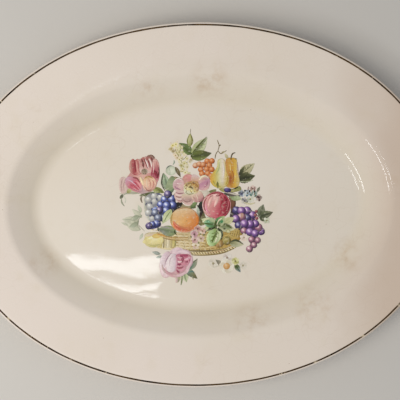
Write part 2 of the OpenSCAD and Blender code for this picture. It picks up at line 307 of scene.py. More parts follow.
def glaze_finish():
    finish = Finish("aged_ivory_glaze")
    place = finish.place()
    split = finish.node("SeparateXYZ", None, {0: place})
    x, y, z = split, Shade(finish, split.socket.node.outputs[1]), Shade(finish, split.socket.node.outputs[2])

    # The ivory itself: pinker on the rim, yellower where the glaze gathered
    pooled = finish.node("Attribute", {"attribute_name": "pooled"}, out="Fac")
    cloud = finish.noise(9.0, 2.0)
    mottle = finish.noise(60.0, 4.0)
    reach_x, reach_y = (x - middle_x) / half_length, (y - middle_y) / half_width
    reach = reach_x * reach_x + reach_y * reach_y
    on_rim = finish.between(reach, 0.42, 0.72)
    ivory = finish.mix(on_rim, pigment("#e9dfd1"), pigment("#e8dbcf"))
    ivory = finish.mix(finish.between(cloud, 0.35, 0.7) * 0.5, ivory, pigment("#e3d6c4"))
    ivory = finish.mix(pooled * 0.35, ivory, pigment("#ddcfb4"))
    ivory = finish.mix(finish.between(mottle, 0.52, 0.8) * 0.25, ivory, pigment("#dccdb2"))

    # The rim is painted darker towards its right end: painted shade for the dimmer light there
    rim_painted_shade = finish.between(reach_x + finish.noise(22.0, 3.0) * 0.3, 0.62, 1.0) * on_rim
    ivory = finish.mix(rim_painted_shade * 0.8, ivory, pigment("#d0baa6"))

    # Tea-coloured stains that crept under the glaze from the verge, as [x, y, size] in mm
    stains = ((9, 90, 13), (-34, 86, 9), (36, -85, 12), (82, -76, 14), (105, -37, 12),
              (-112, -38, 10), (-60, -108, 9), (60, 104, 8), (140, 20, 9), (-140, 34, 8))
    stained = None
    for sx, sy, size in stains:
        away = finish.node("VectorMath", {"operation": "DISTANCE"},
                           {0: place, 1: (middle_x + sx * mm, middle_y + sy * mm, 15 * mm)}, out="Value")
        spot = 1 - finish.between(away, 0.0, size * 1.5 * mm)
        stained = spot if stained is None else stained.math("MAXIMUM", stained, spot)
    patchy = finish.between(finish.noise(75.0, 5.0, rough=0.65), 0.38, 0.72)
    stained = stained * patchy
    ivory = finish.mix(stained * 0.75, ivory, pigment("#c3a37e"))

    # Crazing: a net of hair cracks, tinted by use
    warped = finish.node("VectorMath", {"operation": "ADD"},
                         {0: place, 1: finish.node("VectorMath", {"operation": "SCALE"},
                          {0: finish.node("TexNoise", None, {"Vector": place, "Scale": 60.0}, out="Color"),
                           "Scale": 0.012})})
    net = finish.node("TexVoronoi", {"feature": "DISTANCE_TO_EDGE"},
                      {"Vector": warped, "Scale": 95.0}, out="Distance")
    crack = (1 - finish.between(net, 0.004, 0.02)) * finish.between(finish.noise(14.0), 0.42, 0.62)
    ivory = finish.mix(crack * 0.07, ivory, pigment("#a98a66"))

    # Iron specks and pinholes
    cell = finish.node("TexVoronoi", {"feature": "F1"}, {"Vector": place, "Scale": 130.0}, out="Distance")
    rare = finish.node("TexVoronoi", {"feature": "F1"}, {"Vector": place, "Scale": 130.0}, out="Color")
    speck = (cell < 0.035) * (finish.node("SeparateColor", None, {0: rare}) > 0.86)
    ivory = finish.mix(speck * 0.7, ivory, pigment("#8a6a48"))

    # The foot ring stands bare: rough biscuit clay with grime in it
    bare = 1 - finish.between(z + finish.noise(300.0) * 0.0006, 0.0005, 0.0011)
    clay = finish.mix(finish.noise(420.0, 4.0), pigment("#b79c78"), pigment("#6f5a42"))
    colour = finish.mix(bare, ivory, clay)

    worn = finish.between(finish.noise(160.0, 5.0, rough=0.7), 0.5, 0.75)
    rubbed = finish.between(reach - reach_x * 0.12, 0.62, 0.7)
    roughness = 0.03 + worn * 0.035 + stained * 0.04 + rubbed * 0.24 + bare * 0.7
    fine = finish.noise(900.0, 2.0) * 0.000004 + bare * finish.noise(2500.0) * 0.0001 - crack * 0.00001
    return finish.glassy(colour, roughness, finish.ripple(fine))


put("platter", body_mesh, glaze_finish(), "platter_body")


# ---------------------------------------------------------------------------------------
# Gilt line. A band of liquid gold, brushed on the lip by hand on a wheel and fired. Years
# of washing have darkened it and worn it through in places.

line_low, line_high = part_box("gilt_rim_line")
line_inset = half_length - (line_high.x - line_low.x) / 2
line_width = 1.1 * mm
line_rise = 0.03 * mm
line_float = 0.012 * mm
line_sink = 0.03 * mm
line_stations = 480
rng = random.Random(5)


def brush_waver(count, steps):
    """A slow, even waver round a closed line, between -1 and 1."""
    parts = [(rng.uniform(0.4, 1), rng.randint(3, steps), rng.uniform(0, 6.28)) for _ in range(count)]
    total = sum(p[0] for p in parts)
    around = np.linspace(0, 2 * math.pi, line_stations, endpoint=False)
    return sum(p[0] * np.sin(p[1] * around + p[2]) for p in parts) / total


rim_fall = (turn_corner[1] - edge_top[1]) / (turn_corner[0] - edge_top[0])
outer = line_inset + 0.06 * mm * brush_waver(5, 60)
inner = line_inset + line_width + 0.16 * mm * brush_waver(7, 90)
line_rings = []
for share, lift in ((0.0, -line_sink), (0.0, 0.0), (0.2, line_rise), (0.8, line_rise), (1.0, 0.0),
                    (1.0, -line_sink)):
    inset = outer + (inner - outer) * share
    level = height + (inset - lip_radius) * rim_fall + lift + line_float
    line_rings.append(oval(inset, level, line_stations))
line_points = np.concatenate(line_rings)
line_points[:, 2] += warp(line_points[:, 0], line_points[:, 1])
line_faces = [face[::-1] for face in joined(len(line_rings), line_stations)]
last = (len(line_rings) - 1) * line_stations
for i in range(line_stations):
    after = (i + 1) % line_stations
    line_faces.append((i, after, last + after, last + i))
gilt_mesh = new_mesh("gilt_rim_line", line_points, line_faces)


def gilt_finish():
    finish = Finish("worn_gilding")
    tarnish = finish.between(finish.noise(55.0, 4.0, rough=0.6), 0.35, 0.68)
    gold = finish.mix(tarnish, pigment("#5d4423"), pigment("#2a1d12"))
    gold = finish.mix(finish.between(finish.noise(700.0, 3.0), 0.45, 0.75) * 0.4, gold, pigment("#8a6a35"))
    patch = finish.noise(130.0, 5.0, rough=0.72)
    through = finish.between(patch + finish.noise(1500.0, 2.0) * 0.2, 0.71, 0.76)
    colour = finish.mix(through, gold, pigment("#cdbb9c"))
    metal = (1 - through) * 0.75
    roughness = 0.3 + tarnish * 0.15 - through * 0.15
    return finish.glassy(colour, roughness, finish.ripple(), metallic=metal)


put("gilt_line", gilt_mesh, gilt_finish(), "gilt_rim_line")


# ---------------------------------------------------------------------------------------
# Backstamp. A plain device in cobalt blue under the glaze of the recess, set with a rubber
# stamp: a ring of dots round a four-petalled flower.

stamp_low, stamp_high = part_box("backstamp")
stamp_x, stamp_y = (stamp_low.x + stamp_high.x) / 2, (stamp_low.y + stamp_high.y) / 2
stamp_radius = (stamp_high.x - stamp_low.x) / 2
stamp_ceiling = stamp_high.z
ink_sink = 0.02 * mm
ink_rise = 0.03 * mm
dot_radius = 0.7 * mm
dots_round = 16
petal_reach = 5.2 * mm
petal_long = 3.6 * mm
petal_wide = 2.2 * mm


def stamp_spot(points, faces, x, y, radius_x, radius_y, turn, seed):
    """One inked spot, with the uneven edge that a soft stamp leaves."""
    shaky = random.Random(seed)
    first = len(points)
    sides = 28
    waves = [(shaky.uniform(0, 0.035), k, shaky.uniform(0, 6.28)) for k in (2, 3, 5, 7)]
    for depth in (ink_sink, -ink_rise):
        for i in range(sides):
            a = 2 * math.pi * i / sides
            grow = 1 + sum(w * math.sin(k * a + p) for w, k, p in waves)
            px, py = radius_x * grow * math.cos(a), radius_y * grow * math.sin(a)
            points.append((x + px * math.cos(turn) - py * math.sin(turn),
                           y + px * math.sin(turn) + py * math.cos(turn), stamp_ceiling + depth))
    faces.append(tuple(first + i for i in range(sides)))
    faces.append(tuple(first + sides + i for i in range(sides - 1, -1, -1)))
    for i in range(sides):
        after = (i + 1) % sides
        faces.append((first + i, first + sides + i, first + sides + after, first + after))


stamp_points, stamp_faces = [], []
ring_radius = stamp_radius - dot_radius
for i in range(dots_round):
    angle = 2 * math.pi * i / dots_round
    stamp_spot(stamp_points, stamp_faces, stamp_x + ring_radius * math.cos(angle),
               stamp_y + ring_radius * math.sin(angle), dot_radius, dot_radius, 0, i)
for i in range(4):
    angle = math.pi * i / 2
    stamp_spot(stamp_points, stamp_faces, stamp_x + petal_reach * math.cos(angle),
               stamp_y + petal_reach * math.sin(angle), petal_long, petal_wide, angle, 40 + i)
stamp_mesh = new_mesh("backstamp", stamp_points, stamp_faces, smooth=False)


def cobalt_finish():
    finish = Finish("cobalt_stamp")
    thin = finish.between(finish.noise(900.0, 4.0, rough=0.7), 0.35, 0.65)
    colour = finish.mix(thin, pigment("#2d3f6e"), pigment("#6e7ea0"))
    return finish.glassy(colour, 0.12 + thin * 0.05, finish.ripple())


put("backstamp_ink", stamp_mesh, cobalt_finish(), "backstamp")


# ---------------------------------------------------------------------------------------
# The print. Litho colours laid on the glaze as one transfer and fired till they sink in. Each
# motif is one coat of thin patches, laid one on another, placed in millimetres from the
# middle of the well. The first motif is a faded spray to the left of the bunch.

print_turn = math.radians(-1)
enamel_lift = 0.012 * mm
enamel_step = 0.003 * mm
enamel_sink = 0.02 * mm
laid = []
hand = random.Random(11)


def inks(colours):
    """A row of colours; one string of hex codes is read as such a row."""
    return [pigment(code) for code in colours.split()] if isinstance(colours, str) else colours


def brushed(colour):
    """A colour as it is, or read from its hex code."""
    return pigment(colour) if isinstance(colour, str) else colour


def fade(stops, share):
    """A colour from a row of colours, 0 for the first and 1 for the last."""
    stops = inks(stops)
    share = min(max(share, 0.0), 1.0) * (len(stops) - 1)
    first = min(int(share), len(stops) - 2)
    rest = share - first
    return tuple(a + (b - a) * rest for a, b in zip(stops[first], stops[first + 1]))


def ball(stops, lit=(-0.35, 0.4), spread=1.35):
    """Paints a round fruit: the first colour where it is lit, the last on its far side."""
    stops = inks(stops)
    return lambda u, v: fade(stops, math.hypot(u - lit[0], v - lit[1]) / spread)


def petal(stops, edge=None, strength=0.6):
    """Paints a petal from its base to its tip, with another colour round its edge."""
    stops = inks(stops)

    def paint(u, v):
        colour = fade(stops, (u + 1) / 2)
        away = min(1.0, max(0.0, (math.hypot(u, v) - 0.55) / 0.45))
        return fade([colour, edge], away * strength) if edge else colour

    return paint


def along(start, end, stops):
    """Paints in bands across the way from start to end, both places in the print."""
    stops = inks(stops)
    start = np.array(start, float)
    way = np.array(end, float) - start
    return lambda x, y: fade(stops, float((np.array((x, y)) - start) @ way / (way @ way)))


def blade(stops, rib=None, dark=None):
    """Paints a leaf from stalk to tip, one half in shade, with a rib down its middle."""
    stops, rib, dark = inks(stops), brushed(rib), brushed(dark)

    def paint(s, w):
        colour = fade(stops, s)
        if dark and w < 0:
            colour = fade([colour, dark], 0.55 * min(1.0, -w * 1.6))
        return fade([colour, rib], 0.8) if rib and abs(w) < 0.1 else colour

    return paint


def curve(points, closed=False, steps=6):
    """A smooth curve through a few points."""
    points = [np.array(p, float) for p in points]
    count = len(points)
    spans = range(count) if closed else range(count - 1)
    smooth = []
    for i in spans:
        def at(k):
            return points[k % count] if closed else points[min(max(k, 0), count - 1)]

        a, b, c, d = at(i - 1), at(i), at(i + 1), at(i + 2)
        for step in range(steps):
            t = step / steps
            smooth.append(0.5 * (2 * b + (c - a) * t + (2 * a - 5 * b + 4 * c - d) * t * t
                                 + (3 * b - a - 3 * c + d) * t ** 3))
    if not closed:
        smooth.append(points[-1])
    return smooth


class Motif:
    """One motif's coat of enamel: painted patches, joined into one thin mesh."""

    def __init__(self, node):
        self.node = node
        self.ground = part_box(node)[0].z
        self.points, self.faces, self.smooth = [], [], []
        self.paint, self.ink, self.lie = [], [], []

    def lay(self, flat, faces, border, paint, ink, lie):
        """Adds one patch: a flat top on what lies under it, and a skirt down to the glaze."""
        flat = np.array(flat, float)
        low, high = flat.min(0), flat.max(0)
        under = [z for l, h, z in laid if (l < high).all() and (h > low).all()]
        level = max(under, default=self.ground + enamel_lift) + enamel_step
        laid.append((low, high, level))
        turned = np.stack([flat[:, 0] * math.cos(print_turn) - flat[:, 1] * math.sin(print_turn),
                           flat[:, 0] * math.sin(print_turn) + flat[:, 1] * math.cos(print_turn)], 1)
        first, skirt = len(self.points), len(self.points) + len(flat)
        for x, y in turned:
            self.points.append((middle_x + x * mm, middle_y + y * mm, level))
        for k in border:
            x, y, _ = self.points[first + k]
            self.points.append((x, y, self.ground - enamel_sink))
        self.faces += [tuple(first + k for k in face) for face in faces]
        self.smooth += [True] * len(faces)
        count = len(border)
        for k in range(count):
            after = (k + 1) % count
            self.faces.append((first + border[after], first + border[k], skirt + k, skirt + after))
        self.faces.append(tuple(skirt + k for k in range(count - 1, -1, -1)))
        self.smooth += [False] * (count + 1)
        self.paint += list(paint) + [paint[k] for k in border]
        self.ink += list(ink) + [ink[k] for k in border]
        seed = hand.uniform(0, 60)
        self.lie += [(a, b, seed) for a, b in lie] + [(*lie[k], seed) for k in border]

    def fan(self, x, y, outline, turn, paint, rim):
        """A patch that spreads from its middle out to an outline."""
        depths = (0.3, 0.58, 0.8, 0.92, 1.0)
        dark = (0, 0, 0, 0.35, 1.0)
        count = len(outline)
        flat, colours, ink, lie = [(x, y)], [paint(0, 0)], [0.0], [(0, 0)]
        faces = []
        c, s = math.cos(math.radians(turn)), math.sin(math.radians(turn))
        for depth, shade in zip(depths, dark):
            for u, v, px, py in outline:
                flat.append((x + (px * c - py * s) * depth, y + (px * s + py * c) * depth))
                colours.append(paint(u * depth, v * depth))
                ink.append(shade * rim)
                lie.append((px * depth, py * depth))
        for k in range(count):
            after = (k + 1) % count
            faces.append((0, 1 + k, 1 + after))
            for ring in range(len(depths) - 1):
                p, q = 1 + ring * count, 1 + (ring + 1) * count
                faces.append((p + k, q + k, q + after, p + after))
        border = [1 + (len(depths) - 1) * count + k for k in range(count)]
        self.lay(flat, faces, border, colours, ink, lie)

    def dab(self, x, y, long, wide, turn=0, paint=None, rim=0.6, uneven=0.03):
        """A rounded patch, with the small unevenness of a drawn edge."""
        sides = 14 + int(min(long, 20))
        waves = [(hand.uniform(0, uneven), k, hand.uniform(0, 6.28)) for k in (2, 3, 5)]
        outline = []
        for i in range(sides):
            a = 2 * math.pi * i / sides
            grow = 1 + sum(w * math.sin(k * a + p) for w, k, p in waves)
            u, v = math.cos(a), math.sin(a)
            outline.append((u, v, u * long / 2 * grow, v * wide / 2 * grow))
        self.fan(x, y, outline, turn, paint, rim)

    def wash(self, points, paint, rim=0.6):
        """A patch of any outline; its paint is told the place in the print instead."""
        smooth = curve(points, closed=True)
        x, y = np.mean(smooth, axis=0)
        outline = [(px - x, py - y, px - x, py - y) for px, py in smooth]
        self.fan(x, y, outline, 0, lambda u, v: paint(x + u, y + v), rim)

    def leaf(self, x, y, long, wide, turn, paint, rim=0.7, bend=0.0, widest=0.42, teeth=0.0):
        """A leaf from its stalk to its tip; bend bows it to the left of its run."""
        rows, columns = 14, (-1, -0.82, -0.45, -0.07, 0.07, 0.45, 0.82, 1)
        ink_at = (1, 0.3, 0, 0, 0, 0, 0.3, 1)
        power = math.log(0.5) / math.log(widest)
        c, s = math.cos(math.radians(turn)), math.sin(math.radians(turn))
        flat, colours, ink, lie = [], [], [], []
        for row in range(rows + 1):
            share = 0.02 + 0.965 * row / rows
            half = wide / 2 * math.sin(math.pi * share ** power)
            half *= 1 + teeth * (1 if row % 2 else -1)
            for column, dark in zip(columns, ink_at):
                px = long * share
                py = half * column + bend * math.sin(math.pi * share)
                flat.append((x + px * c - py * s, y + px * s + py * c))
                colours.append(paint(share, column))
                ink.append(dark * rim)
                lie.append((px, py))
        faces = []
        across = len(columns)
        for row in range(rows):
            for k in range(across - 1):
                p = row * across + k
                faces.append((p, p + across, p + across + 1, p + 1))
        right = [row * across for row in range(rows + 1)]
        left = [row * across + across - 1 for row in range(rows, -1, -1)]
        tip = [rows * across + k for k in range(1, across - 1)]
        stalk = [k for k in range(across - 2, 0, -1)]
        self.lay(flat, faces, right + tip + left + stalk, colours, ink, lie)

    def stroke(self, points, wide, colour, ends=0.35):
        """One stroke of the brush: thin at its ends, full in its middle."""
        colour = brushed(colour)
        line = curve(points, steps=4)
        flat, count = [], len(line)
        for i, point in enumerate(line):
            way = line[min(i + 1, count - 1)] - line[max(i - 1, 0)]
            way = way / (np.linalg.norm(way) + 1e-9)
            half = wide / 2 * (ends + (1 - ends) * math.sin(math.pi * i / (count - 1)))
            side = np.array([-way[1], way[0]]) * half
            flat += [tuple(point - side), tuple(point + side)]
        faces = [(2 * i, 2 * i + 2, 2 * i + 3, 2 * i + 1) for i in range(count - 1)]
        border = [2 * i for i in range(count)] + [2 * i + 1 for i in range(count - 1, -1, -1)]
        lie = [(0.3 * i, 0.1 * k) for i in range(count) for k in (0, 1)]
        self.lay(flat, faces, border, [colour] * len(flat), [0.0] * len(flat), lie)

    def strokes(self, *rows, ends=0.35):
        """Several strokes with the same ends, each as (points, width, colour)."""
        for points, wide, colour in rows:
            self.stroke(points, wide, colour, ends)

    def arc(self, x, y, radius, start, stop, wide, colour, squeeze=1.0):
        """A stroke along part of a circle, from one angle to another."""
        angles = [math.radians(start + (stop - start) * k / 5) for k in range(6)]
        self.stroke([(x + radius * math.cos(a), y + radius * squeeze * math.sin(a)) for a in angles],
                    wide, colour)

    def done(self, finish):
        """Makes the mesh, gives it its finish and hangs it in place of its CAD node."""
        mesh = bpy.data.meshes.new(self.node)
        mesh.from_pydata(self.points, [], self.faces)
        mesh.polygons.foreach_set("use_smooth", self.smooth)
        paint = mesh.attributes.new("paint", "FLOAT_COLOR", "POINT")
        paint.data.foreach_set("color", np.array([(*c[:3], 1.0) for c in self.paint], np.float32).ravel())
        ink = mesh.attributes.new("ink", "FLOAT", "POINT")
        ink.data.foreach_set("value", np.array(self.ink, np.float32))
        lie = mesh.attributes.new("lie", "FLOAT_VECTOR", "POINT")
        lie.data.foreach_set("vector", np.array(self.lie, np.float32).ravel())
        mesh.update()
        return put(self.node + "_print", mesh, finish, self.node)


def enamel(name, outline, grain=0.35, stipple=0.22, streak=(0.35, 2.2), line=0.75):
    """Fired enamel: a painted wash, streaks that run with the brush, a litho stipple and
    an outline that comes and goes."""
    finish = Finish(name)
    paint = finish.node("Attribute", {"attribute_name": "paint"}, out="Color")
    ink = finish.node("Attribute", {"attribute_name": "ink"}, out="Fac")
    lie = finish.node("Attribute", {"attribute_name": "lie"}, out="Vector")
    combed = finish.node("VectorMath", {"operation": "MULTIPLY"}, {0: lie, 1: (*streak, 1.0)})
    brush = finish.noise(1.0, 3.0, combed, 0.6)
    wash = finish.noise(170.0, 3.0)
    dots = finish.noise(1900.0, 2.0, rough=0.7)
    light = 1.0 + (brush - 0.5) * 2 * grain + (dots - 0.5) * 2 * stipple + (wash - 0.5) * 0.3
    colour = finish.node("VectorMath", {"operation": "SCALE"}, {0: paint, "Scale": light})
    thin = finish.between(finish.noise(520.0, 2.0), 0.56, 0.74)
    colour = finish.mix(thin * 0.35, colour, pigment("#e6dcc6"))
    drawn = finish.between(ink + (finish.noise(330.0, 2.0) - 0.5) * 0.9, 0.45, 0.95)
    colour = finish.mix(drawn * line, colour, pigment(outline))
    roughness = 0.09 + finish.noise(400.0) * 0.05
    return finish.glassy(colour, roughness, finish.ripple(dots * 0.000003))


faded_green = enamel("faded_green_enamel", "#8f9078", grain=0.2, line=0.5)
motif = Motif("faded_spray")
mist = inks("#b4b49a #cfcdb4 #dcd8c4")
motif.leaf(-43, -18, 14, 5.6, 150, blade(mist, dark="#a6a78c"), bend=0.8)
motif.leaf(-44, -12, 13, 5, 172, blade(mist, rib="#a3a58c"), bend=-0.6)
motif.leaf(-42, -9, 10, 3.8, 140, blade(mist, dark="#b3b49c"))
motif.stroke([(-40, -19), (-44, -15), (-50, -9)], 0.5, "#a9a88e")
for x, y, turn in ((-47, -17, 150), (-50, -12, 172), (-52, -14.5, 158)):
    motif.leaf(x, y, 6, 1.8, turn, blade("#bcbca2 #d3d1bb"), rim=0.4)
deep_mist = inks("#969c80 #a9ae94 #c3c5ac")
motif.leaf(-43.6, -8, 7.4, 3.4, 196, blade(deep_mist, dark="#8d9376"), rim=0.4)
motif.leaf(-44.4, -12.6, 8, 3.4, 206, blade(deep_mist, dark="#8d9376"), rim=0.4)
motif.leaf(-42.6, -5.4, 6.4, 2.8, 112, blade("#a9ad92 #c0c3aa #d3d3bd"), rim=0.3)
motif.leaf(-41.4, -20.4, 5.6, 2.2, 242, blade("#b3b59c #c9cab4"), rim=0.2)
motif.stroke([(-42, -7), (-44.6, -10.6), (-45.4, -15.4)], 0.6, "#8f9478", ends=0.4)
motif.done(faded_green)


# ---------------------------------------------------------------------------------------
# Wicker basket. A shallow split-cane basket in gold and brown, woven over and under its
# ribs, with a plaited band for a foot and a twisted rim.

cane = enamel("basket_enamel", "#7d6a3e", grain=0.3, stipple=0.28)
motif = Motif("wicker_basket")


def basket_tone(x, y):
    """Cream to the left, gold to the right, darker under the flowers."""
    colour = fade("#e8d9b6 #e0cfa2 #dcc9a0 #d3bb84 #c0a058 #b08c3e", (x + 40) / 70)
    return fade([colour, pigment("#a0853f")], max(0.0, (y + 24) / 14))


motif.wash([(-38, -20), (-40, -24.5), (-36, -28.6), (-29, -31.6), (-18, -33), (-4, -33.6), (10, -33.2),
            (20, -31.2), (27, -27.6), (30.6, -23), (31.4, -18.6), (20, -18), (0, -19.4), (-20, -19.6)],
           basket_tone)
weave_rows = 6
weave_top, row_drop = -21.6, 2.1
weave_reach, row_taper = 33.5, 2.7
most_canes = 16
for row in range(weave_rows):
    sag = weave_top - row_drop * row
    reach = weave_reach - row_taper * row
    count = most_canes - row
    for k in range(count):
        start = -reach + 2 * reach * (k + 0.5 * (row % 2)) / count
        stop = min(start + 2 * reach / count * 0.78, reach)
        middle = (start + stop) / 2

        def drop(x):
            return sag + 5.5 * (x / 36) ** 2 - 0.4

        tint = fade("#cdb88a #b9985a #94702c", (middle + 36) / 70 + hand.uniform(-0.15, 0.15))
        motif.stroke([(start - 3, drop(start)), (middle - 3, drop(middle) + 0.35), (stop - 3, drop(stop))],
                     hand.uniform(0.55, 0.9), tint)
        if k % 2:
            motif.stroke([(stop - 2.8, drop(stop) + 0.9), (stop - 3, drop(stop) - 0.8)], 0.35,
                         fade("#a3966c #7a6534 #5f4d22", (middle + 36) / 70))
        else:
            motif.dab(middle - 3, drop(middle) - 1, 1.9, 0.8, 0,
                      ball([fade("#efe6cc #e8d6a4 #d9bc6c", (middle + 36) / 70)] * 2), rim=0)
for x, wide, tint in ((-34, 3.4, "#ead790"), (-30.6, 3.0, "#e6d288"), (-28.4, 2.0, "#d3c078"),
                      (-26.4, 1.3, "#9c8c60"), (-24.6, 1.4, "#cdbf98"), (-23, 2.2, "#e6d8b4"),
                      (-20.8, 1.8, "#c4b27c"), (-18.8, 2.4, "#d0c078"), (-17.4, 0.7, "#948a50")):
    lean = (x + 26) * 0.08
    motif.stroke([(x, -22.6 - 0.1 * lean), (x - 0.2 * lean, -27), (x - lean, -31.2 + abs(lean))], wide, tint,
                 ends=0.55)
band = inks("#c4ab74 #8f7a45 #6f5a2c")
motif.strokes(([(-13, -34.4), (0, -35.1), (12, -34.4), (20, -32.6), (26.4, -30)], 2.8, "#dcc694"),
              ([(4, -35), (12, -34.3), (19, -32.6)], 1.2, "#c99f70"),
              ([(-16, -32.7), (-6, -33.3), (4, -33.4), (12, -32.8), (19, -31.4)], 1.1, band[1]),
              ([(-6, -33.3), (4, -33.4), (10, -32.9)], 1.1, band[2]),
              ([(-12, -35.7), (0, -36.6), (12, -35.8), (20, -33.9), (27, -30.4)], 0.9, band[1]))
motif.stroke([(8, -18.6), (7, -24), (6, -29.6)], 5.0, "#b39a58", ends=0.7)
for x in range(-10, 26, 2):
    y = -35.0 + 4.6 * max(0.0, (x - 6) / 20) ** 2
    motif.stroke([(x - 0.9, y + 1.0), (x, y), (x + 0.9, y - 0.9)], 0.5, band[x % 4 // 2 + 1])
    motif.dab(x + 1.1, y + 0.3, 1.1, 0.7, 20, ball("#f2e6bc #e6d29a"), rim=0)
for depth, tint in ((0, "#b98f4e"), (0.9, "#d9bd86"), (1.7, "#a3824a")):
    motif.stroke([(-31.5, -19.6 - depth), (-27, -22 - depth), (-21, -23.4 - depth), (-14, -23.8 - depth),
                  (-8, -23 - depth)], 0.7, tint)
motif.done(cane)

yellow_fruit = enamel("yellow_fruit_enamel", "#9a7a30", grain=0.22, line=0.6)
motif = Motif("lemon")
motif.dab(-33.6, -26, 14.4, 9.6, 4, ball("#f0e6b8 #e8da98 #ddcd8a #c8ba80", (0.1, 0.3)), rim=0.35)
motif.dab(-40.2, -26.6, 3, 2.6, 0, ball("#ecdf9c #d9c988"), rim=0.3)
motif.stroke([(-38.4, -22.6), (-35.4, -21.4), (-32, -21.4)], 1.6, "#e6cdb6", ends=0.2)
motif.strokes(([(-37.8, -24.4), (-34, -23.4), (-30.6, -24.2)], 1.5, "#f6efc4"),
              ([(-38, -28.6), (-33.6, -29.6), (-29, -28.4)], 1.6, "#c9bf7a"), ends=0.1)
motif.dab(-31.6, -22.4, 6.4, 3.4, 4, ball("#e6cb78 #dcbc68 #cfae66", (0, 0)), rim=0.2)
motif.stroke([(-31, -21.2), (-27.6, -21.6), (-25, -22.8)], 1.4, "#d29c4c")
motif.done(yellow_fruit)


# ---------------------------------------------------------------------------------------
# Leaves and sprays behind the fruit. Thin washes of green over a grey key line: the top
# leaves, a curling tendril, small cream blossoms, a bud in its husk and the tulip's leaves.

key_brown = enamel("key_line_enamel", "#5a4a30", grain=0.2)
motif = Motif("tendril")
for path in ([(12.6, 47.6), (13.4, 45.4), (14, 43), (13.2, 39.6)],
             [(13.2, 39.6), (15, 37.6), (17.2, 38.4), (19.4, 39.8)], [(13.2, 39.6), (11.6, 37), (11, 33.6)],
             [(14, 43), (15.2, 44)]):
    motif.stroke(path, 0.75, "#80704f", ends=0.5)
motif.dab(17, 38.6, 2.6, 1.2, 20, petal("#9a8c66 #b3a67c"), rim=0.3)
motif.done(key_brown)

leaf_green = enamel("leaf_green_enamel", "#3d4520", grain=0.4, line=0.8)
motif = Motif("top_leaves")
deep = pigment("#4c5826")
motif.leaf(-6, 37, 12.4, 7.8, 138, blade("#5f6c34 #778a4e #7f9058", rib=deep, dark="#5a6a36"))
motif.leaf(-7.4, 42.4, 10, 4.8, 87, blade("#8d8f52 #c2c08a #b3b06c", dark="#8b8a48"))
motif.strokes(([(-8.8, 43.6), (-9, 47), (-7.6, 51.6)], 0.6, "#7f803c"),
              ([(-6.2, 43.4), (-5.6, 47.6), (-6.8, 52)], 0.8, "#6f6c2c"),
              ([(-7, 51.6), (-6.6, 55.6)], 0.45, "#8c7f6a"))
motif.leaf(-6, 37, 17, 8.2, 47, blade("#a3ab6c #c0c596 #d2d3b0", rib=deep, dark="#cdd0a8"), bend=-0.6)
motif.stroke([(-5.8, 37.6), (-2.4, 41.8), (1, 45.6), (5, 49.8)], 1.3, "#5a6126", ends=0.15)
motif.strokes(([(-2, 41.6), (2.4, 41.8)], 0.4, "#8a9458"), ([(0, 44.2), (4, 44.4)], 0.4, "#8a9458"))
motif.leaf(-6.8, 35, 15.6, 7.6, 10, blade("#5d6a2e #6c7238 #5f5e34", rib="#3f461c", dark="#838c4c"))
motif.leaf(1, 36.4, 7.8, 3.4, 12, blade("#4c5526 #5a583a"), rim=0.9)
motif.stroke([(-6, 38), (-6.3, 35.4), (-4.6, 33)], 0.9, "#4a5420")
motif.done(leaf_green)

cream_petals = enamel("cream_blossom_enamel", "#8f8254", grain=0.25, line=0.6)
motif = Motif("blossom_spray")
for k in range(90):
    share = hand.random()
    spread = 3.6 - 1.2 * share
    x = -19.4 + 9.6 * share + hand.uniform(-spread, spread)
    y = 43.4 - 20.4 * share + hand.uniform(-spread, spread) + 4.5 * math.sin(math.pi * share)
    tint = hand.choice(inks("#e3d9ac #ddd3a0 #e8dcbc #d3c894 #e6d2b4 #cfc28e #e0d0bc"))
    motif.dab(x, y, hand.uniform(1.4, 3), hand.uniform(1, 1.8), hand.uniform(0, 180),
              petal([tint, tint, fade([tint, pigment("#f2ecd0")], 0.5)]), rim=0.35)
for path in ([(-10.6, 23.4), (-12, 29), (-15, 34.6), (-18, 41)], [(-12.4, 30), (-9, 31.4), (-7.2, 31.6)],
             [(-13.6, 32.6), (-11, 34), (-9.6, 36)], [(-15.6, 35.6), (-14.4, 39.6), (-13.4, 41.6)]):
    motif.stroke(path, 0.5, "#93905c")
for k in range(18):
    share = hand.random()
    x = -19 + 9.6 * share + hand.uniform(-2.6, 2.6)
    y = 42.4 - 20 * share + hand.uniform(-2.4, 2.4) + 4 * math.sin(math.pi * share)
    tint = hand.choice(inks("#a39a62 #b3a76c #9a9258 #bb9c70"))
    motif.dab(x, y, hand.uniform(0.7, 1.5), 0.6, hand.uniform(0, 180), ball([tint, tint]), rim=0)
blossoms = ((-19.6, 43.4, "#e6d47c"), (-17.4, 44.2, "#f0e29a"), (-19.2, 39.4, "#8f7650"),
            (-20.8, 41, "#b49a5c"), (-15, 38.6, "#cdbf8c"), (-17.6, 36.2, "#ecd3b4"),
            (-16.4, 34.4, "#e3c9a8"), (-14.8, 33.2, "#e8dab0"), (-11.4, 30.4, "#c9bf84"),
            (-9.4, 33.8, "#ded2a2"), (-7.2, 31.6, "#d8cdb0"), (-6.4, 33, "#b9a88a"),
            (-12.6, 26.4, "#dfd49c"), (-10.6, 23.8, "#e6dca6"), (-9.2, 27.8, "#d9cda8"),
            (-13.4, 28.8, "#a9a05c"))
for x, y, tint in blossoms:
    tint = pigment(tint)
    for k in range(4):
        turn = 90 * k + hand.uniform(-20, 20)
        px, py = x + 0.8 * math.cos(math.radians(turn)), y + 0.8 * math.sin(math.radians(turn))
        motif.dab(px, py, 1.9, 1.4, turn, petal([tint, fade([tint, pigment("#f0e6c8")], 0.6)]), rim=0.5)
    motif.dab(x, y, 0.9, 0.9, 0, ball("#b0a058 #998a48"), rim=0)
motif.done(cream_petals)

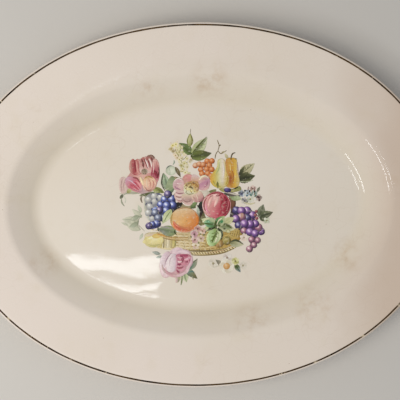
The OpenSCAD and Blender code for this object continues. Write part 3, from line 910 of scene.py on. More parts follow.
motif = Motif("white_bud")
husk = enamel("bud_enamel", "#76806c", grain=0.2, line=0.8)
motif.dab(-21, 25.2, 7.6, 7, 0, ball("#e2e0cc #d9dac4 #c3c8ae #aab094", (0.1, -0.1)), rim=0.8)
motif.arc(-21, 25.2, 3.5, 75, 165, 0.7, "#5f6a62")
motif.stroke([(-22.6, 27.6), (-21.6, 24.6), (-22, 22.4)], 0.4, "#b3baa0")
motif.leaf(-17.8, 28, 8.6, 2.8, -63, blade("#6f6040 #7d6e4c #5f5136", dark="#4a3d26"), rim=0.8)
motif.stroke([(-19.6, 29.4), (-18.6, 31), (-18.8, 32.8)], 1.0, "#a3b09a")
motif.done(husk)

sage = enamel("sage_enamel", "#4f5844", grain=0.4, line=0.85)
motif = Motif("tulip_leaves")
pale_sage = inks("#6f7a5c #93a383 #a3b592 #8b9474")
motif.leaf(-43, 9.6, 15.4, 4.8, 184, blade("#8a8a6c #cfc7b2 #bdb8a0", dark="#dcd2c0"), bend=-1.2)
motif.stroke([(-43.6, 8.4), (-49, 8.9), (-53.6, 8.4), (-56.4, 6.8)], 0.8, "#a8a890")
motif.dab(-56.8, 6.4, 3.8, 2.4, 60, ball("#5c5c46 #6f705a #8c8e76", (0, 0)), rim=0.4)
motif.strokes(([(-57, 5), (-56.6, 2), (-54.8, -0.6)], 1.1, "#a3a58c"),
              ([(-55.2, 6.6), (-54, 4), (-54.4, 1.6)], 0.9, "#d9dac4"),
              ([(-41.6, 7.6), (-42.8, 4.6), (-41.8, 1.8)], 1.3, "#857663"))
motif.leaf(-34, 8.6, 10.4, 4, 190, blade("#6c6f4c #a9a98c #8c8c6c", dark="#b9b59c"), bend=-0.8)
motif.leaf(-34.6, 7, 7.6, 3.6, 172, blade("#6f7448 #5c6038 #6c6c46", dark="#4a4f2c"), rim=0.8)
motif.stroke([(-35, 9.2), (-39.6, 9.6), (-43.4, 6.4)], 0.8, "#6e7050")
motif.leaf(-26, 9, 9.6, 3.4, 150, blade("#6f7540 #8c9050 #a9a46c", rib="#565a2a"))
motif.leaf(-53, 12.6, 3.6, 1.8, 30, blade("#a3a068 #8c8c58"))
motif.leaf(-20.6, 8.6, 11, 3.6, 84, blade("#5f6c50 #8fa07c #a8b890", dark="#55614a"))
motif.leaf(-22.4, 9.6, 14.8, 5.6, 106, blade(pale_sage, rib="#6d7a60", dark="#bccdaa"), rim=0.9)
motif.stroke([(-25.2, 10.4), (-27.8, 16), (-26.8, 23.2)], 1.1, "#565c44", ends=0.2)
motif.leaf(-13.8, 18.4, 8.4, 3, 167, blade("#5c4d2c #8c7440 #b59a5c #c9bc84", dark="#4f4428"))
motif.stroke([(-14, 18.2), (-18, 18.2), (-21, 19.4)], 0.7, "#55492c")
motif.done(sage)


# ---------------------------------------------------------------------------------------
# Parrot tulip. Blown open, with fringed petals in rose and crimson, feathered with the
# white of the glaze that is left bare between the strokes.

rose = enamel("rose_enamel", "#94464c", grain=0.4, line=0.6)
motif = Motif("parrot_tulip")
motif.wash([(-50.4, 24), (-49.6, 31), (-45, 33), (-38, 35.6), (-31.6, 32.6), (-29.8, 25), (-31.6, 14),
            (-36, 10), (-44, 9.6), (-52.6, 12.6), (-53.4, 19)],
           along((-52, 20), (-30, 24), "#c98a86 #d39c92 #dcb09e #c88684 #a8545e"), rim=0.3)
motif.wash([(-58.8, 14), (-58, 19), (-55.4, 20.8), (-52.8, 18.6), (-52.2, 13.4), (-53.6, 9.4), (-57, 8.8)],
           along((-59, 14), (-52.4, 14), "#e6d2c6 #d0b0a6 #dec4b8 #d2b0a6"), rim=0.3)
for x in (-56.8, -54.8):
    motif.stroke([(x, 10.4), (x - 0.4, 14.6), (x + 0.6, 19)], 0.6, "#c29a92")
motif.leaf(-53, 9, 5.4, 3, 42, blade("#8f8c50 #b4b278 #c9c494"), rim=0.5)
motif.leaf(-29, 9, 6.6, 3.4, 152, blade("#6f7234 #9aa05c #c2c088", dark="#7c7f40"), rim=0.6)
motif.wash([(-43.2, 22.4), (-42.8, 27.6), (-43.2, 32), (-45, 33.8), (-47, 32.8), (-48.4, 33.8), (-50.4, 32),
            (-51.4, 28), (-50.6, 24.6), (-47.4, 22)],
           along((-51.4, 28), (-43, 28), "#d8ac9c #b87068 #a8484c #c87e76 #dcaea2"), rim=0.7)
motif.stroke([(-42.6, 22.6), (-43.2, 27), (-42.8, 31.6)], 2.6, "#c98880", ends=0.4)
for x, wide, tint in ((-49.8, 0.7, "#c28c80"), (-48.4, 0.9, "#b0545a"), (-47, 1.3, "#94343c"),
                      (-45.6, 0.9, "#e0a89c"), (-44.3, 0.9, "#b86a68"), (-43.4, 0.6, "#e6c0b4")):
    motif.stroke([(x + 0.6, 23.6), (x, 28), (x - 0.5, 32.4)], wide, tint, ends=0.15)
motif.wash([(-43, 23.6), (-43.8, 28), (-43.4, 32), (-41.4, 35), (-39.4, 34), (-37.6, 36.4), (-35, 36),
            (-33.4, 34), (-32, 31), (-33, 26), (-36.6, 23.4)],
           along((-40, 24), (-36, 36), "#e2c4b8 #d29c92 #c07c74 #946052"), rim=0.7)
for top, foot, wide, tint in (((-42.2, 33.8), (-41, 26.4), 1.6, "#7c423e"),
                              ((-40.6, 34), (-37.9, 26.8), 1.3, "#8a3c3e"),
                              ((-39.7, 33.6), (-37.4, 27), 1.1, "#f7e2d8"),
                              ((-38.3, 34), (-36, 27.4), 1.0, "#8f3f42"),
                              ((-36.8, 34.2), (-34.5, 27), 1.3, "#f8e0d6"),
                              ((-35.4, 35.2), (-33.4, 28), 1.5, "#7a3836"),
                              ((-42.6, 29), (-40.2, 25), 0.8, "#d8a89c")):
    motif.stroke([top, ((top[0] + foot[0]) / 2 + 0.4, (top[1] + foot[1]) / 2), foot], wide, tint, ends=0.25)
motif.stroke([(-37.8, 35.6), (-35, 36), (-32.6, 34.2)], 1.5, "#8c6a5a")
motif.wash([(-34, 33), (-31.6, 33.6), (-29.8, 30.8), (-29.2, 26), (-29.4, 20.6), (-31, 16.6), (-34, 16.8),
            (-35.6, 21), (-34.8, 27)],
           along((-31.4, 33), (-32, 16.4), "#d8aa9e #d49c92 #b4606a #a03c4c #bc6470 #dca79a"), rim=0.8)
motif.strokes(([(-33.2, 25.4), (-31.6, 22.6), (-30.8, 19)], 2.2, "#8a2c38"),
              ([(-29.8, 28), (-29.6, 24), (-30.6, 20)], 0.9, "#70302f"),
              ([(-33.6, 31.6), (-33.4, 27.6), (-34, 23)], 0.7, "#ecc6ba"),
              ([(-31.6, 32), (-31, 28), (-31.4, 25)], 0.7, "#c67a76"),
              ([(-34.6, 20.6), (-33, 19), (-32, 16.8)], 0.8, "#c98a86"), ends=0.15)
motif.wash([(-47, 12), (-42.4, 14.4), (-37.6, 13.4), (-34.6, 10.8), (-38.6, 9), (-43.4, 8.6)],
           along((-47, 11), (-35, 11), "#cf9aa0 #c0a4a2 #c8a79e"), rim=0.6)
motif.wash([(-40.6, 12), (-41.4, 16.6), (-39.8, 20.4), (-36.4, 21.4), (-33, 19.6), (-31.4, 15.4),
            (-33, 11.8), (-36.6, 10)],
           along((-39, 21), (-35, 10.4), "#cfa070 #eec6a4 #e8b8a0 #c09282"), rim=0.75)
motif.strokes(([(-40.2, 19.6), (-37.4, 21), (-34, 19.6)], 1.1, "#b98c56"),
              ([(-37.4, 19.6), (-36, 16), (-36.2, 12.4)], 1.0, "#d89a84"),
              ([(-38.6, 19), (-38.4, 15.4), (-37.6, 12.6)], 0.9, "#f4d8bc"),
              ([(-34.4, 18.4), (-33.4, 15.6), (-34.4, 12.6)], 0.8, "#c8806e"),
              ([(-40.4, 14), (-38, 10.8), (-35, 11.4)], 0.8, "#a27468"), ends=0.2)
motif.wash([(-54, 18.6), (-52, 20.8), (-48, 20.6), (-44.8, 19), (-42.4, 15), (-41.6, 11), (-43.8, 9.2),
            (-47.6, 10.2), (-51.4, 12.6), (-54, 15.4)],
           along((-53.4, 19.6), (-43, 10.4), "#c9a2b0 #cf8c96 #cc6470 #e08a90 #c9a0a2"), rim=0.7)
motif.strokes(([(-49, 20), (-45.8, 19.6), (-43.4, 16.4)], 1.2, "#9c4a48"),
              ([(-52.4, 18.6), (-49.4, 17.4), (-46, 14.4)], 1.3, "#dcb4c0"),
              ([(-51.8, 15.6), (-47.6, 13.6), (-44, 10.8)], 1.2, "#cc5c6a"),
              ([(-48.6, 17.2), (-45.6, 15), (-43, 11.6)], 1.0, "#c04a5a"),
              ([(-51.4, 13.4), (-47.4, 11.2), (-43.6, 9.8)], 0.7, "#b07880"),
              ([(-46.6, 17.6), (-44.6, 16.4), (-43.2, 14)], 0.8, "#f0a8a4"), ends=0.15)
motif.stroke([(-43.4, 20.6), (-42, 17.6), (-40.8, 14.6)], 2.0, "#efd6ac", ends=0.3)
motif.dab(-40.2, 24.4, 4.8, 4.6, 20, ball("#857260 #a08a74 #c8a898", (0.1, 0.2)), rim=0.2)
for x, y in ((-41.4, 25.6), (-40, 26.2), (-38.8, 25), (-41, 23.2), (-39.4, 23)):
    motif.dab(x, y, 1, 0.7, hand.uniform(0, 180), ball("#4f4434 #7c6c52"), rim=0)
motif.done(rose)


# ---------------------------------------------------------------------------------------
# Right-hand leaves, orange berries and the two pears, the left one green-yellow and the
# right one gold with a red cheek.

motif = Motif("fruit_leaves")
dark_green = enamel("dark_leaf_enamel", "#2c2f18", grain=0.45, line=0.85)
motif.leaf(28.6, 21.6, 14.6, 7.4, 38, blade("#9a9368 #bdb58c #cdc6a4", dark="#b0aa84"), rim=0.5, teeth=0.05)
for k in range(4):
    motif.stroke([(30.6 + 2 * k, 23.6 + 1.5 * k), (31.4 + 2 * k, 26.6 + 1.1 * k)], 0.5, "#7d7a50")
motif.stroke([(29, 22), (34, 26), (39.4, 30.4)], 0.5, "#77754c")
motif.leaf(27, 18.4, 13.8, 7.4, 13, blade("#3a3c20 #474a28 #6a6c44", rib="#24260f", dark="#4f5430"),
           teeth=0.06)
for y, turn in ((21.6, 58), (20.2, 30), (18, -2)):
    motif.leaf(28.4, y, 8.4, 2.6, turn, blade("#2e3018 #4c4e2c #7a7850"), rim=0.8)
motif.stroke([(28, 17.6), (33.6, 17), (38.8, 18.2)], 0.7, "#aab088")
motif.done(dark_green)

motif = Motif("orange_berries")
berry_orange = enamel("orange_enamel", "#8a4a22", grain=0.15, stipple=0.16, line=0.7)
glow = inks("#f2c8a0 #dc8a4c #c06830 #8a481e")
for k, (x, y) in enumerate(((-3.2, 28.9), (-0.4, 29.8), (2.5, 29.4), (5.4, 32), (8.8, 32.2), (6.9, 28.9),
                            (0.7, 25.9), (5, 26.2), (8.7, 26), (1.6, 22.9), (5.8, 23), (8.2, 21.2))):
    pale = fade([pigment("#e3bd9c"), glow[1]], min(1.0, k / 3))
    motif.dab(x, y, 4.3, 4.2, 0, ball([glow[0], pale, glow[2], glow[3]], (-0.25, 0.3), 1.3), rim=0.8)
motif.done(berry_orange)


def pear_green(x, y):
    """From a golden left edge over green-yellow to the pale lit stripe, then gold again."""
    across = (x - 7.6) / 13.5
    colour = fade("#d89e48 #d8b64e #cfc06a #dcd6a8 #e6d8c4 #d6be70 #c49a50", across)
    return fade([colour, pigment("#bcaa30")], max(0.0, (17.5 - y) / 7))


def pear_gold(x, y):
    """Gold at both sides of a red cheek low on the left."""
    across = (x - 18.6) / 9.4
    colour = fade("#c98a4a #d0a04a #cf9a3a #d8ae48 #cfb878", across)
    cheek = math.exp(-((x - 22.2) / 1.9) ** 2 - ((y - 19) / 5.2) ** 2)
    return fade([colour, pigment("#9c4c22")], cheek)


motif = Motif("pears")
motif.wash([(24.2, 34.6), (19.4, 34), (18.4, 29), (17.4, 22), (17.4, 16), (20, 13.2), (24.4, 12.6),
            (28, 13.8), (29, 18), (27.6, 24), (27.2, 29), (26.8, 33.4)],
           pear_gold, rim=0.7)
motif.strokes(([(23.2, 26), (24.4, 22), (24, 15.6)], 0.9, "#b06a26"),
              ([(25.2, 31), (26, 24), (25.6, 16)], 0.9, "#e3bf58"), ends=0.1)
motif.strokes(([(27.4, 31.4), (27.8, 26), (28.6, 20)], 0.6, "#a58a86"),
              ([(22, 30), (22.4, 25)], 0.9, "#e6c878"))
motif.wash([(15.6, 34), (13, 32.6), (12.4, 28), (10, 24.4), (7.4, 20.6), (8.2, 16), (12, 12.8), (17, 12.6),
            (20.6, 15.4), (21.4, 20), (19.4, 24.6), (18.8, 29.4), (18, 33)],
           pear_green, rim=0.7)
motif.strokes(([(17.2, 30.6), (17.4, 25.6), (17, 19.6)], 1.4, "#ece0d2"),
              ([(14, 31.4), (13.8, 26.6), (11.4, 22.4)], 1.0, "#b9bf7c"), ends=0.1)
motif.strokes(([(9.4, 18), (11.6, 14.8), (15, 13.6)], 1.0, "#b8a440"),
              ([(19.2, 22.6), (20.2, 18.6), (18.8, 14.6)], 0.7, "#b59a3c"))
motif.stroke([(22.6, 33), (23, 35.8), (24, 37.6), (25.8, 38.2)], 1.0, "#5f5030", ends=0.6)
motif.stroke([(25, 33.6), (27, 33.8)], 0.7, "#6a5434")
motif.leaf(20.4, 33.8, 4.6, 2.2, 120, blade("#b0a578 #cfc6a0"), rim=0.6)
motif.leaf(12.8, 17.4, 5.6, 1.6, -86, blade("#6d6a2a #84803c"), rim=0.6)
motif.done(yellow_fruit)


# ---------------------------------------------------------------------------------------
# Small flowers and grapes to left and right of the middle: forget-me-nots, pale and blue
# grapes with the dark between them, a broad leaf, and one deep violet.


def small_flower(motif, x, y, radius, tints, eye, petals=5, turn=90, rim=0.7):
    """An open flower: round petals about an eye."""
    tints = inks(tints)
    for k in range(petals):
        angle = math.radians(turn + 360 * k / petals)
        tint = tints[k % len(tints)]
        pale = fade([tint, pigment("#f2ead8")], 0.45)
        motif.dab(x + radius * 0.56 * math.cos(angle), y + radius * 0.56 * math.sin(angle), radius * 0.98,
                  radius * 0.86, math.degrees(angle), petal([tint, tint, pale]), rim=rim)
    motif.dab(x, y, radius * 0.5, radius * 0.5, 0, ball([pigment(eye),
            fade([pigment(eye), pigment("#3a3226")], 0.5)]), rim=0.3)


motif = Motif("forget_me_nots")
grey_blue = enamel("forget_me_not_enamel", "#3c3e44", grain=0.3, line=0.85)
for x, y, turn in ((41.6, 9.6, 60), (29.4, 6.2, 200), (34.6, 5, 260)):
    motif.leaf(x, y, 4.6, 2, turn, blade("#6a6c58 #8c8c74"))
small_flower(motif, 38.6, 12, 2.6, "#d8bdb0 #cfb4a8 #c9b09c", "#7a5a48")
small_flower(motif, 30.4, 8.4, 2.7, "#8c94a0 #5f646e #a3a6a8", "#33343c")
small_flower(motif, 34.8, 8.8, 2.9, "#b9c3cc #98a4ac #c6ccc8", "#6f7668", turn=60)
small_flower(motif, 39.6, 8.2, 2.8, "#a4b4a8 #7d9088 #cfd0c0", "#8c7c3c", turn=110)
small_flower(motif, 43, 5.4, 2.5, "#a38a80 #7c6660 #c0aa9c", "#4a302c", turn=80)
small_flower(motif, 36.8, 4.4, 2.7, "#ccccb8 #dcd8c6 #b8bca6", "#a89c5c", turn=40)
small_flower(motif, 32.4, 3.2, 2.4, "#b0aaa6 #8f8a88 #cdc6ba", "#77706a", turn=75)
for x, y, tint in ((28.4, 6.9, "#2a2a2c"), (30.2, 8.2, "#44466a"), (33, 10.6, "#3c4448"),
                   (36.2, 10.2, "#2c2420"), (39.9, 10.2, "#3a2c28"), (37.1, 7.4, "#4c7468"),
                   (34.4, 7, "#5c7478"), (42.3, 6, "#4c2e2e"), (43.4, 3.6, "#5a3c3a"),
                   (40.6, 6.8, "#56685c"), (38.6, 9, "#6a7c6c"), (31.2, 4.4, "#77747a")):
    motif.dab(x, y, 1.9, 1.2, hand.uniform(0, 180), ball(inks(tint) * 2), rim=0.2)
for x in (35.2, 37.4, 40):
    motif.stroke([(x + 0.2, 13.6), (x, 12), (x - 0.2, 10.4)], 0.7, "#8a5f58")
for x, y, tall in ((32, 7.2, 3.6), (33.8, 9.4, 2.2), (36, 5.2, 1.4), (39.2, 8.4, 1.8), (41, 4.4, 1.6)):
    motif.stroke([(x, y + tall / 2), (x - 0.2, y - tall / 2)], 0.8, "#dfe4e6")
motif.stroke([(32, 2.2), (36.4, 0.8), (40.4, 1.8)], 1.2, "#d3caa2")
motif.done(grey_blue)

motif = Motif("pale_grapes")
bloom_grey = enamel("pale_grape_enamel", "#6f6f70", grain=0.2, line=0.75)
pearl = inks("#ebe8dc #c9c6be #a9a8a6 #83838a")
motif.wash([(-40.4, 5), (-36, 8.6), (-30, 8.8), (-26.6, 6.4), (-28, 1.6), (-32, -1.6), (-33, -6),
            (-31.8, -11), (-35.6, -12.4), (-39.4, -7.6), (-40.2, -1)],
           along((-40, 0), (-28, 2), "#bdbbae #8f8e90 #6c6c7c"), rim=0.4)
motif.strokes(([(-40.6, 4), (-39.8, 0), (-39.4, -5), (-36.6, -10.4)], 1.8, "#cdcab8"),
              ([(-38, 9), (-34, 9.4), (-31, 7.2)], 0.9, "#6f7a5a"))
for x, y in ((-37.4, 3.8), (-33, 6.4), (-32.8, 2.6), (-28.8, 5.4), (-36.2, -1), (-37.4, -5.6),
             (-34.4, -9.6)):
    motif.dab(x, y, 5, 4.9, 0, ball(pearl, (-0.3, 0.35), 1.35), rim=0.75)
for x, y in ((-31.2, 4.4), (-35.2, 1.6), (-30.6, 0.6), (-34.8, -2.8), (-39, 0.8), (-35.8, -7.6),
             (-29.6, 8.2)):
    motif.dab(x, y, 2.2, 1.3, hand.uniform(0, 180), ball("#4a4c60 #6a6c80"), rim=0)
motif.dab(-32.2, -3.6, 5.2, 5, 0, ball("#c4cef0 #8c9cd0 #5a6aa4 #3c4678", (-0.2, 0.3)), rim=0.7)
for x, y in ((-37.8, 5.2), (-33.8, 7.8), (-29.2, 6.8), (-37, 0.4), (-38, -4.4)):
    motif.dab(x, y, 1.9, 1.2, 140, ball("#f4f4f0 #e6e6e2"), rim=0)
motif.done(bloom_grey)

motif = Motif("dark_foliage")
shadow = enamel("shadow_enamel", "#15110c", grain=0.3, line=0.7)
for points, tints in (
        ([(-1, 4), (3, 8), (8, 11), (12, 11.4), (10, 8), (5, 6), (2, 2)], "#8b8456 #6c6c3e #8a8a58"),
        ([(-2, 0), (2, -2), (4, -8), (6, -12), (1, -15), (-2, -12), (0, -6)], "#4c4430 #5f5a36 #7c7446"),
        ([(-17, -1), (-12, 1), (-5, 1), (-3, -2), (-8, -2.6), (-14, -3)], "#8c7f5c #a39470 #7c7448"),
        ([(21, 6), (24, 7), (26, 2), (25.4, -6), (22, -9), (22.6, -2)], "#8a6c50 #6c4a38 #4c3830"),
        ([(14, 12), (20, 12.4), (26, 12), (29, 14), (30, 11), (24, 9.4), (17, 9.6)],
         "#9c944e #b0a764 #8c8c50"),
        ([(-22, 10), (-18, 14), (-18.4, 20), (-21, 21), (-24, 16), (-24.6, 11)], "#8c9a70 #a3ae86 #7c8860")):
    motif.wash(points, along(points[0], points[3], tints), rim=0.15)
motif.leaf(-26, -6.4, 17.4, 6.6, 32, blade("#2a242c #2c2620 #1c1712 #2f2a1c"), rim=0.8)
motif.leaf(-19.6, 2.6, 7.4, 3, 72, blade("#2f3a24 #4f6238 #3a4a2a"), rim=0.8)
motif.leaf(1, 3.4, 12.8, 4.2, -92, blade("#3a4630 #1f1c16 #2a2018 #4f3a26"), rim=0.8)
motif.leaf(-1.8, -1, 7.6, 2.2, -80, blade("#c9d0bc #aab4a0 #5f6450"), rim=0.6)
motif.leaf(-6.6, -2.4, 7.4, 3.6, 48, blade("#4f5f38 #7d9058 #8c9a68", dark="#2f3c22"), rim=0.8)
motif.leaf(23.4, -3, 9.6, 4, 78, blade("#5f3a26 #7c523a #4f3c24", dark="#38281a"), rim=0.8)
motif.leaf(21.6, 6.6, 9.4, 4.8, -14, blade("#7c8c58 #a6b286 #bcc49c", dark="#8f9c6c"), rim=0.6)
motif.leaf(17.4, 8.8, 11.2, 3.4, -8, blade("#3a3226 #8f8270 #d9cfc0", dark="#4a4236"), rim=0.8)
motif.strokes(([(18, 9.4), (22.4, 8.8), (27.6, 7.6)], 0.6, "#e3d9ca"),
              ([(18.6, 8.4), (22.6, 7.4), (26.6, 6.8)], 0.5, "#2c2620"))
motif.done(shadow)

motif = Motif("blue_grapes")
grape_blue = enamel("blue_enamel", "#211f33", grain=0.15, stipple=0.14, line=0.8)
cold = inks("#e4e8fc #98a2d8 #5a64a6 #34396c #24264a")
slate = inks("#d0d6e4 #9aa2b6 #6e748c #4a4c60 #323448")
plum = inks("#d2c4dc #9484a8 #5f5482 #3a3454 #292438")
motif.wash([(-28.6, 2), (-26, 6.4), (-23.2, 9), (-20, 6.6), (-17.6, 3), (-17.6, -1.6), (-21, -5),
            (-24.6, -9), (-28, -10.6), (-32.6, -10), (-33.6, -6.4), (-30.6, -3)],
           along((-34, -8), (-18, 4), "#44506e #34345a #26224a"), rim=0.7)
motif.wash([(-38.8, -13.6), (-34, -11.4), (-29, -11.8), (-28.6, -15), (-33, -17), (-38.6, -17.2)],
           along((-38, -15), (-29, -14), "#5a5088 #38386a #3c3c66"), rim=0.7)
for x, y, skin, size in ((-28.4, 0.4, cold, 5.2), (-25.6, 4.2, cold, 5.4), (-20.4, 4.4, cold, 5.8),
                         (-23.2, 8, plum, 5.6), (-19.6, 0, cold, 5.6), (-24, -0.2, cold, 5.8),
                         (-24.4, -4, cold, 5.6), (-29.2, -3.6, plum, 5), (-32.4, -5.6, slate, 5.6),
                         (-26.2, -9.4, slate, 5.4), (-30.2, -9.4, slate, 5.8), (-31.4, -13.4, cold, 5.2),
                         (-34.4, -14, cold, 4.4), (-37, -15, plum, 5)):
    motif.dab(x, y, size * 1.06, size * 1.04, 0, ball(skin, (-0.3, 0.36), 1.25), rim=0.8)
    motif.dab(x - size * 0.15, y + size * 0.17, size * 0.4, size * 0.28, 130,
              ball([skin[0], skin[0], skin[1]], (0, 0)), rim=0)
motif.arc(-37, -15, 1.6, 30, 330, 0.7, "#5f4c78")
motif.done(grape_blue)

motif = Motif("under_leaf")
motif.leaf(-16.8, -20, 14.2, 7.8, 168, blade("#7a8652 #8a966c #8c9080 #7c7c74", rib="#6a7454",
                                             dark="#9aa678"), rim=0.8)
motif.leaf(-20.6, -2.8, 12.6, 5.6, -122, blade("#b4bf84 #c9cf9c #d8dab0 #a3b078"), rim=0.5)
motif.stroke([(-21.4, -4.4), (-24, -8), (-26, -12)], 0.8, "#93a268", ends=0.3)
motif.strokes(([(-17, -21.6), (-18.4, -19.6), (-18, -18)], 0.9, "#3c4420"),
              ([(-30, -15.6), (-30.6, -17.4), (-29.6, -19)], 0.9, "#4f5442"),
              ([(-19, -17.6), (-24, -16.2), (-29, -15.4)], 0.6, "#a99aa0"))
motif.done(sage)


# ---------------------------------------------------------------------------------------
# Apricot, wild rose, violet and apple: the large shapes at the heart of the bunch. The
# apricot is lit from above, the rose is open on its yellow boss, the apple turns from
# pink to crimson.


def apricot_skin(u, v):
    """Tan on top, orange to the right, coral where it rests."""
    colour = fade("#dcae6c #e6b87c #e0a865 #d98e4a #c87a44", (u + 1) / 2)
    colour = fade([colour, pigment("#dfc29a")], max(0.0, (v - 0.1) / 0.9))
    low = max(0.0, min(1.0, (-v - 0.25) / 0.6))
    return fade([colour, pigment("#c66a3c")], low * 0.85)


motif = Motif("apricot")
orange = enamel("apricot_enamel", "#a8603a", grain=0.18, stipple=0.2, streak=(0.6, 0.9), line=0.6)
motif.dab(-11, -10.7, 21.4, 18.4, 0, apricot_skin, rim=0.7, uneven=0.015)
motif.arc(-11, -10.7, 8.2, 188, 296, 3.8, "#e3905e", squeeze=0.84)
motif.arc(-11, -10.7, 8.5, 196, 284, 2.2, "#da7a54", squeeze=0.84)
motif.arc(-11, -10.7, 8.8, 204, 270, 1.0, "#cf6248", squeeze=0.84)
motif.arc(-11.6, -10.2, 7.6, 200, 250, 0.8, "#e88c70", squeeze=0.8)
motif.arc(-11, -10.7, 10.2, 220, 320, 0.7, "#e3a184", squeeze=0.86)
motif.arc(-11, -10.7, 9.4, -50, 40, 1.6, "#dc8234", squeeze=0.86)
motif.arc(-12.6, -9, 7.2, 60, 140, 1.0, "#e8cfa4", squeeze=0.85)
motif.arc(-11, -10.7, 10, 150, 200, 1.2, "#c0a25c", squeeze=0.86)
motif.dab(-9.6, -11.4, 1.4, 1.2, 0, ball("#c08a50 #cf9a5c"), rim=0)
motif.stroke([(-16.4, -3.4), (-11, -1.8), (-5.6, -3)], 0.6, "#b88c5c")
motif.done(orange)

motif = Motif("wild_rose")
petal_pink = enamel("wild_rose_enamel", "#9a6f64", grain=0.3, line=0.6)
hem = pigment("#f2e4d6")
motif.wash([(-0.4, 10), (3.4, 11), (7, 10), (6.8, 7), (3.4, 5.8), (0, 6)],
           along((0, 8), (7, 8), "#d8c4ae #d9cebc #c6bba6"), rim=0.5)
motif.wash([(-12.4, 15.4), (-12.8, 19.4), (-10.4, 22.2), (-6.4, 22.4), (-5.2, 19), (-5.8, 15.4), (-9, 14.2)],
           along((-12, 15), (-6.6, 22), "#c99a84 #d2a08e #d8928c #dc9c94"), rim=0.6)
motif.wash([(-6.2, 16), (-5.8, 21.8), (-3, 22.2), (-0.4, 20), (-0.6, 16.2)],
           along((-3, 16), (-3, 22), "#d89e6c #d8b29c #d6bcb8"), rim=0.5)
motif.wash([(-0.8, 12), (-1.2, 16.8), (0.4, 20.8), (3.6, 22), (6.6, 20.4), (7.4, 16.2), (6.2, 12),
            (3, 10.8)],
           along((0.4, 21), (5.6, 12), "#e8dab6 #d2a49c #c48ca0 #cf9aa4 #dcb4a8"), rim=0.6)
motif.strokes(([(-0.4, 18.2), (1.4, 20.6), (4, 21.4), (6.6, 19.4)], 1.0, "#f1e6c4"),
              ([(1, 18.6), (3, 19.2), (5, 18.4)], 0.6, "#b99a8c"))
motif.stroke([(5.4, 17.4), (5, 15), (3, 13)], 1.4, "#bd7f92", ends=0.2)
motif.wash([(-11.8, 10.8), (-11.6, 17), (-14, 19.8), (-17.4, 19.2), (-19.6, 15.8), (-18.8, 11.8),
            (-15.4, 10.2)],
           along((-19.4, 17), (-12, 12), "#e0c4c0 #cda2a4 #e0bab4 #d6aca4"), rim=0.6)
motif.stroke([(-18.6, 17.8), (-15.8, 19.6), (-12.6, 18)], 0.8, hem)
motif.stroke([(-18.4, 14), (-16.8, 12.4), (-14, 11.4)], 1.2, "#b98494", ends=0.2)
motif.stroke([(-16.8, 16.2), (-14.8, 15.6), (-13.2, 16.2)], 0.9, "#ead0cc")
motif.wash([(-11, 9.8), (-11.4, 5), (-13.6, 2), (-17, 3.2), (-18.6, 7), (-17, 10.4), (-13.6, 11)],
           along((-17, 10), (-13, 2.4), "#e0bab6 #dec0b2 #d2aaa0"), rim=0.6)
motif.strokes(([(-17.6, 9.6), (-14.8, 8.4), (-11.6, 9)], 0.8, "#a06e70"),
              ([(-17.8, 8.4), (-15, 7.2), (-11.8, 7.8)], 0.9, "#eed2ca"),
              ([(-17.8, 6.8), (-15, 5.8), (-12, 6.6)], 0.8, "#936664"),
              ([(-17, 5.2), (-14.6, 4.4), (-12, 5.2)], 0.9, "#f0d8d0"),
              ([(-16.4, 3.8), (-14, 3.2), (-11.6, 4)], 0.7, "#a87c7a"), ends=0.2)
motif.wash([(-12.6, 8), (-13, 3.6), (-10.6, 0.4), (-6.8, -0.2), (-4.8, 3.2), (-5.6, 8)],
           along((-9, 8.4), (-8.6, 0), "#dccfae #d6b8a4 #b4928a #d8b2a8 #e0beb2"), rim=0.6)
motif.strokes(([(-12, 3.6), (-9.4, 2.4), (-6.4, 3.4)], 0.8, "#98706a"),
              ([(-13, 2.4), (-10.4, 0.2), (-6.8, -0.2)], 0.9, hem))
motif.wash([(-5.8, 10), (-6, 5.4), (-3.6, 2.4), (0.8, 2.6), (2.8, 5.8), (1.2, 9.4), (-2, 11)],
           along((-4, 10), (0.8, 3), "#e0ccae #dcbaa4 #cf9f96 #b47c7c"), rim=0.6)
motif.strokes(([(2.8, 6.6), (1.6, 3.6), (-1.4, 2.4)], 1.0, "#a0646a"),
              ([(-3.6, 8.6), (-2, 6.4), (-1.6, 4)], 0.7, "#ecd2bc"),
              ([(-5, 6.4), (-3.6, 4.6), (-3.2, 3)], 0.6, "#b48a7c"))
motif.wash([(-11.8, 11.6), (-11, 15.4), (-6.6, 17.6), (-1.6, 17), (-0.4, 12.8), (-2.2, 9), (-7, 7.8),
            (-10.8, 8.8)],
           along((-9, 8.4), (-3, 17.4), "#dcdabc #e2dab0 #d2b87c #bd9058 #c79a68"), rim=0.35)
motif.strokes(([(-11.4, 13), (-9, 15.4), (-5.8, 15.8)], 1.2, "#9c7c50"),
              ([(-5.6, 16.2), (-3, 15), (-1.4, 12.4)], 1.8, "#bc8c4c"))
motif.dab(-4.4, 16.2, 2.2, 1.4, -10, ball("#6f4410 #8f622c"), rim=0)
motif.stroke([(-0.8, 13.6), (-1.4, 11.6), (-2.6, 10.2)], 0.9, "#a87a64")
for k in range(26):
    angle = hand.uniform(0, 2 * math.pi)
    reach = hand.uniform(2.0, 4.4)
    x, y = -6.6 + reach * math.cos(angle), 12.4 + reach * 0.85 * math.sin(angle)
    tint = hand.choice(inks("#94682a #ab7c34 #e0cc74 #ecdf98 #7a5424"))
    motif.dab(x, y, 0.9, 0.55, math.degrees(angle), ball([tint, tint]), rim=0)
motif.stroke([(-8.2, 13), (-6.4, 13.2), (-4.8, 11.6)], 1.3, "#6a5418")
motif.dab(-8.4, 11.6, 2.4, 1.6, 0, ball("#f6ecb0 #e3d284"), rim=0)
motif.dab(-5.8, 10.6, 1.8, 1.4, 0, ball("#f4ecae #dccb70"), rim=0)
motif.stroke([(-10.6, 9.4), (-7.8, 8), (-4.6, 8.6)], 0.8, "#a39a74")
motif.done(petal_pink)

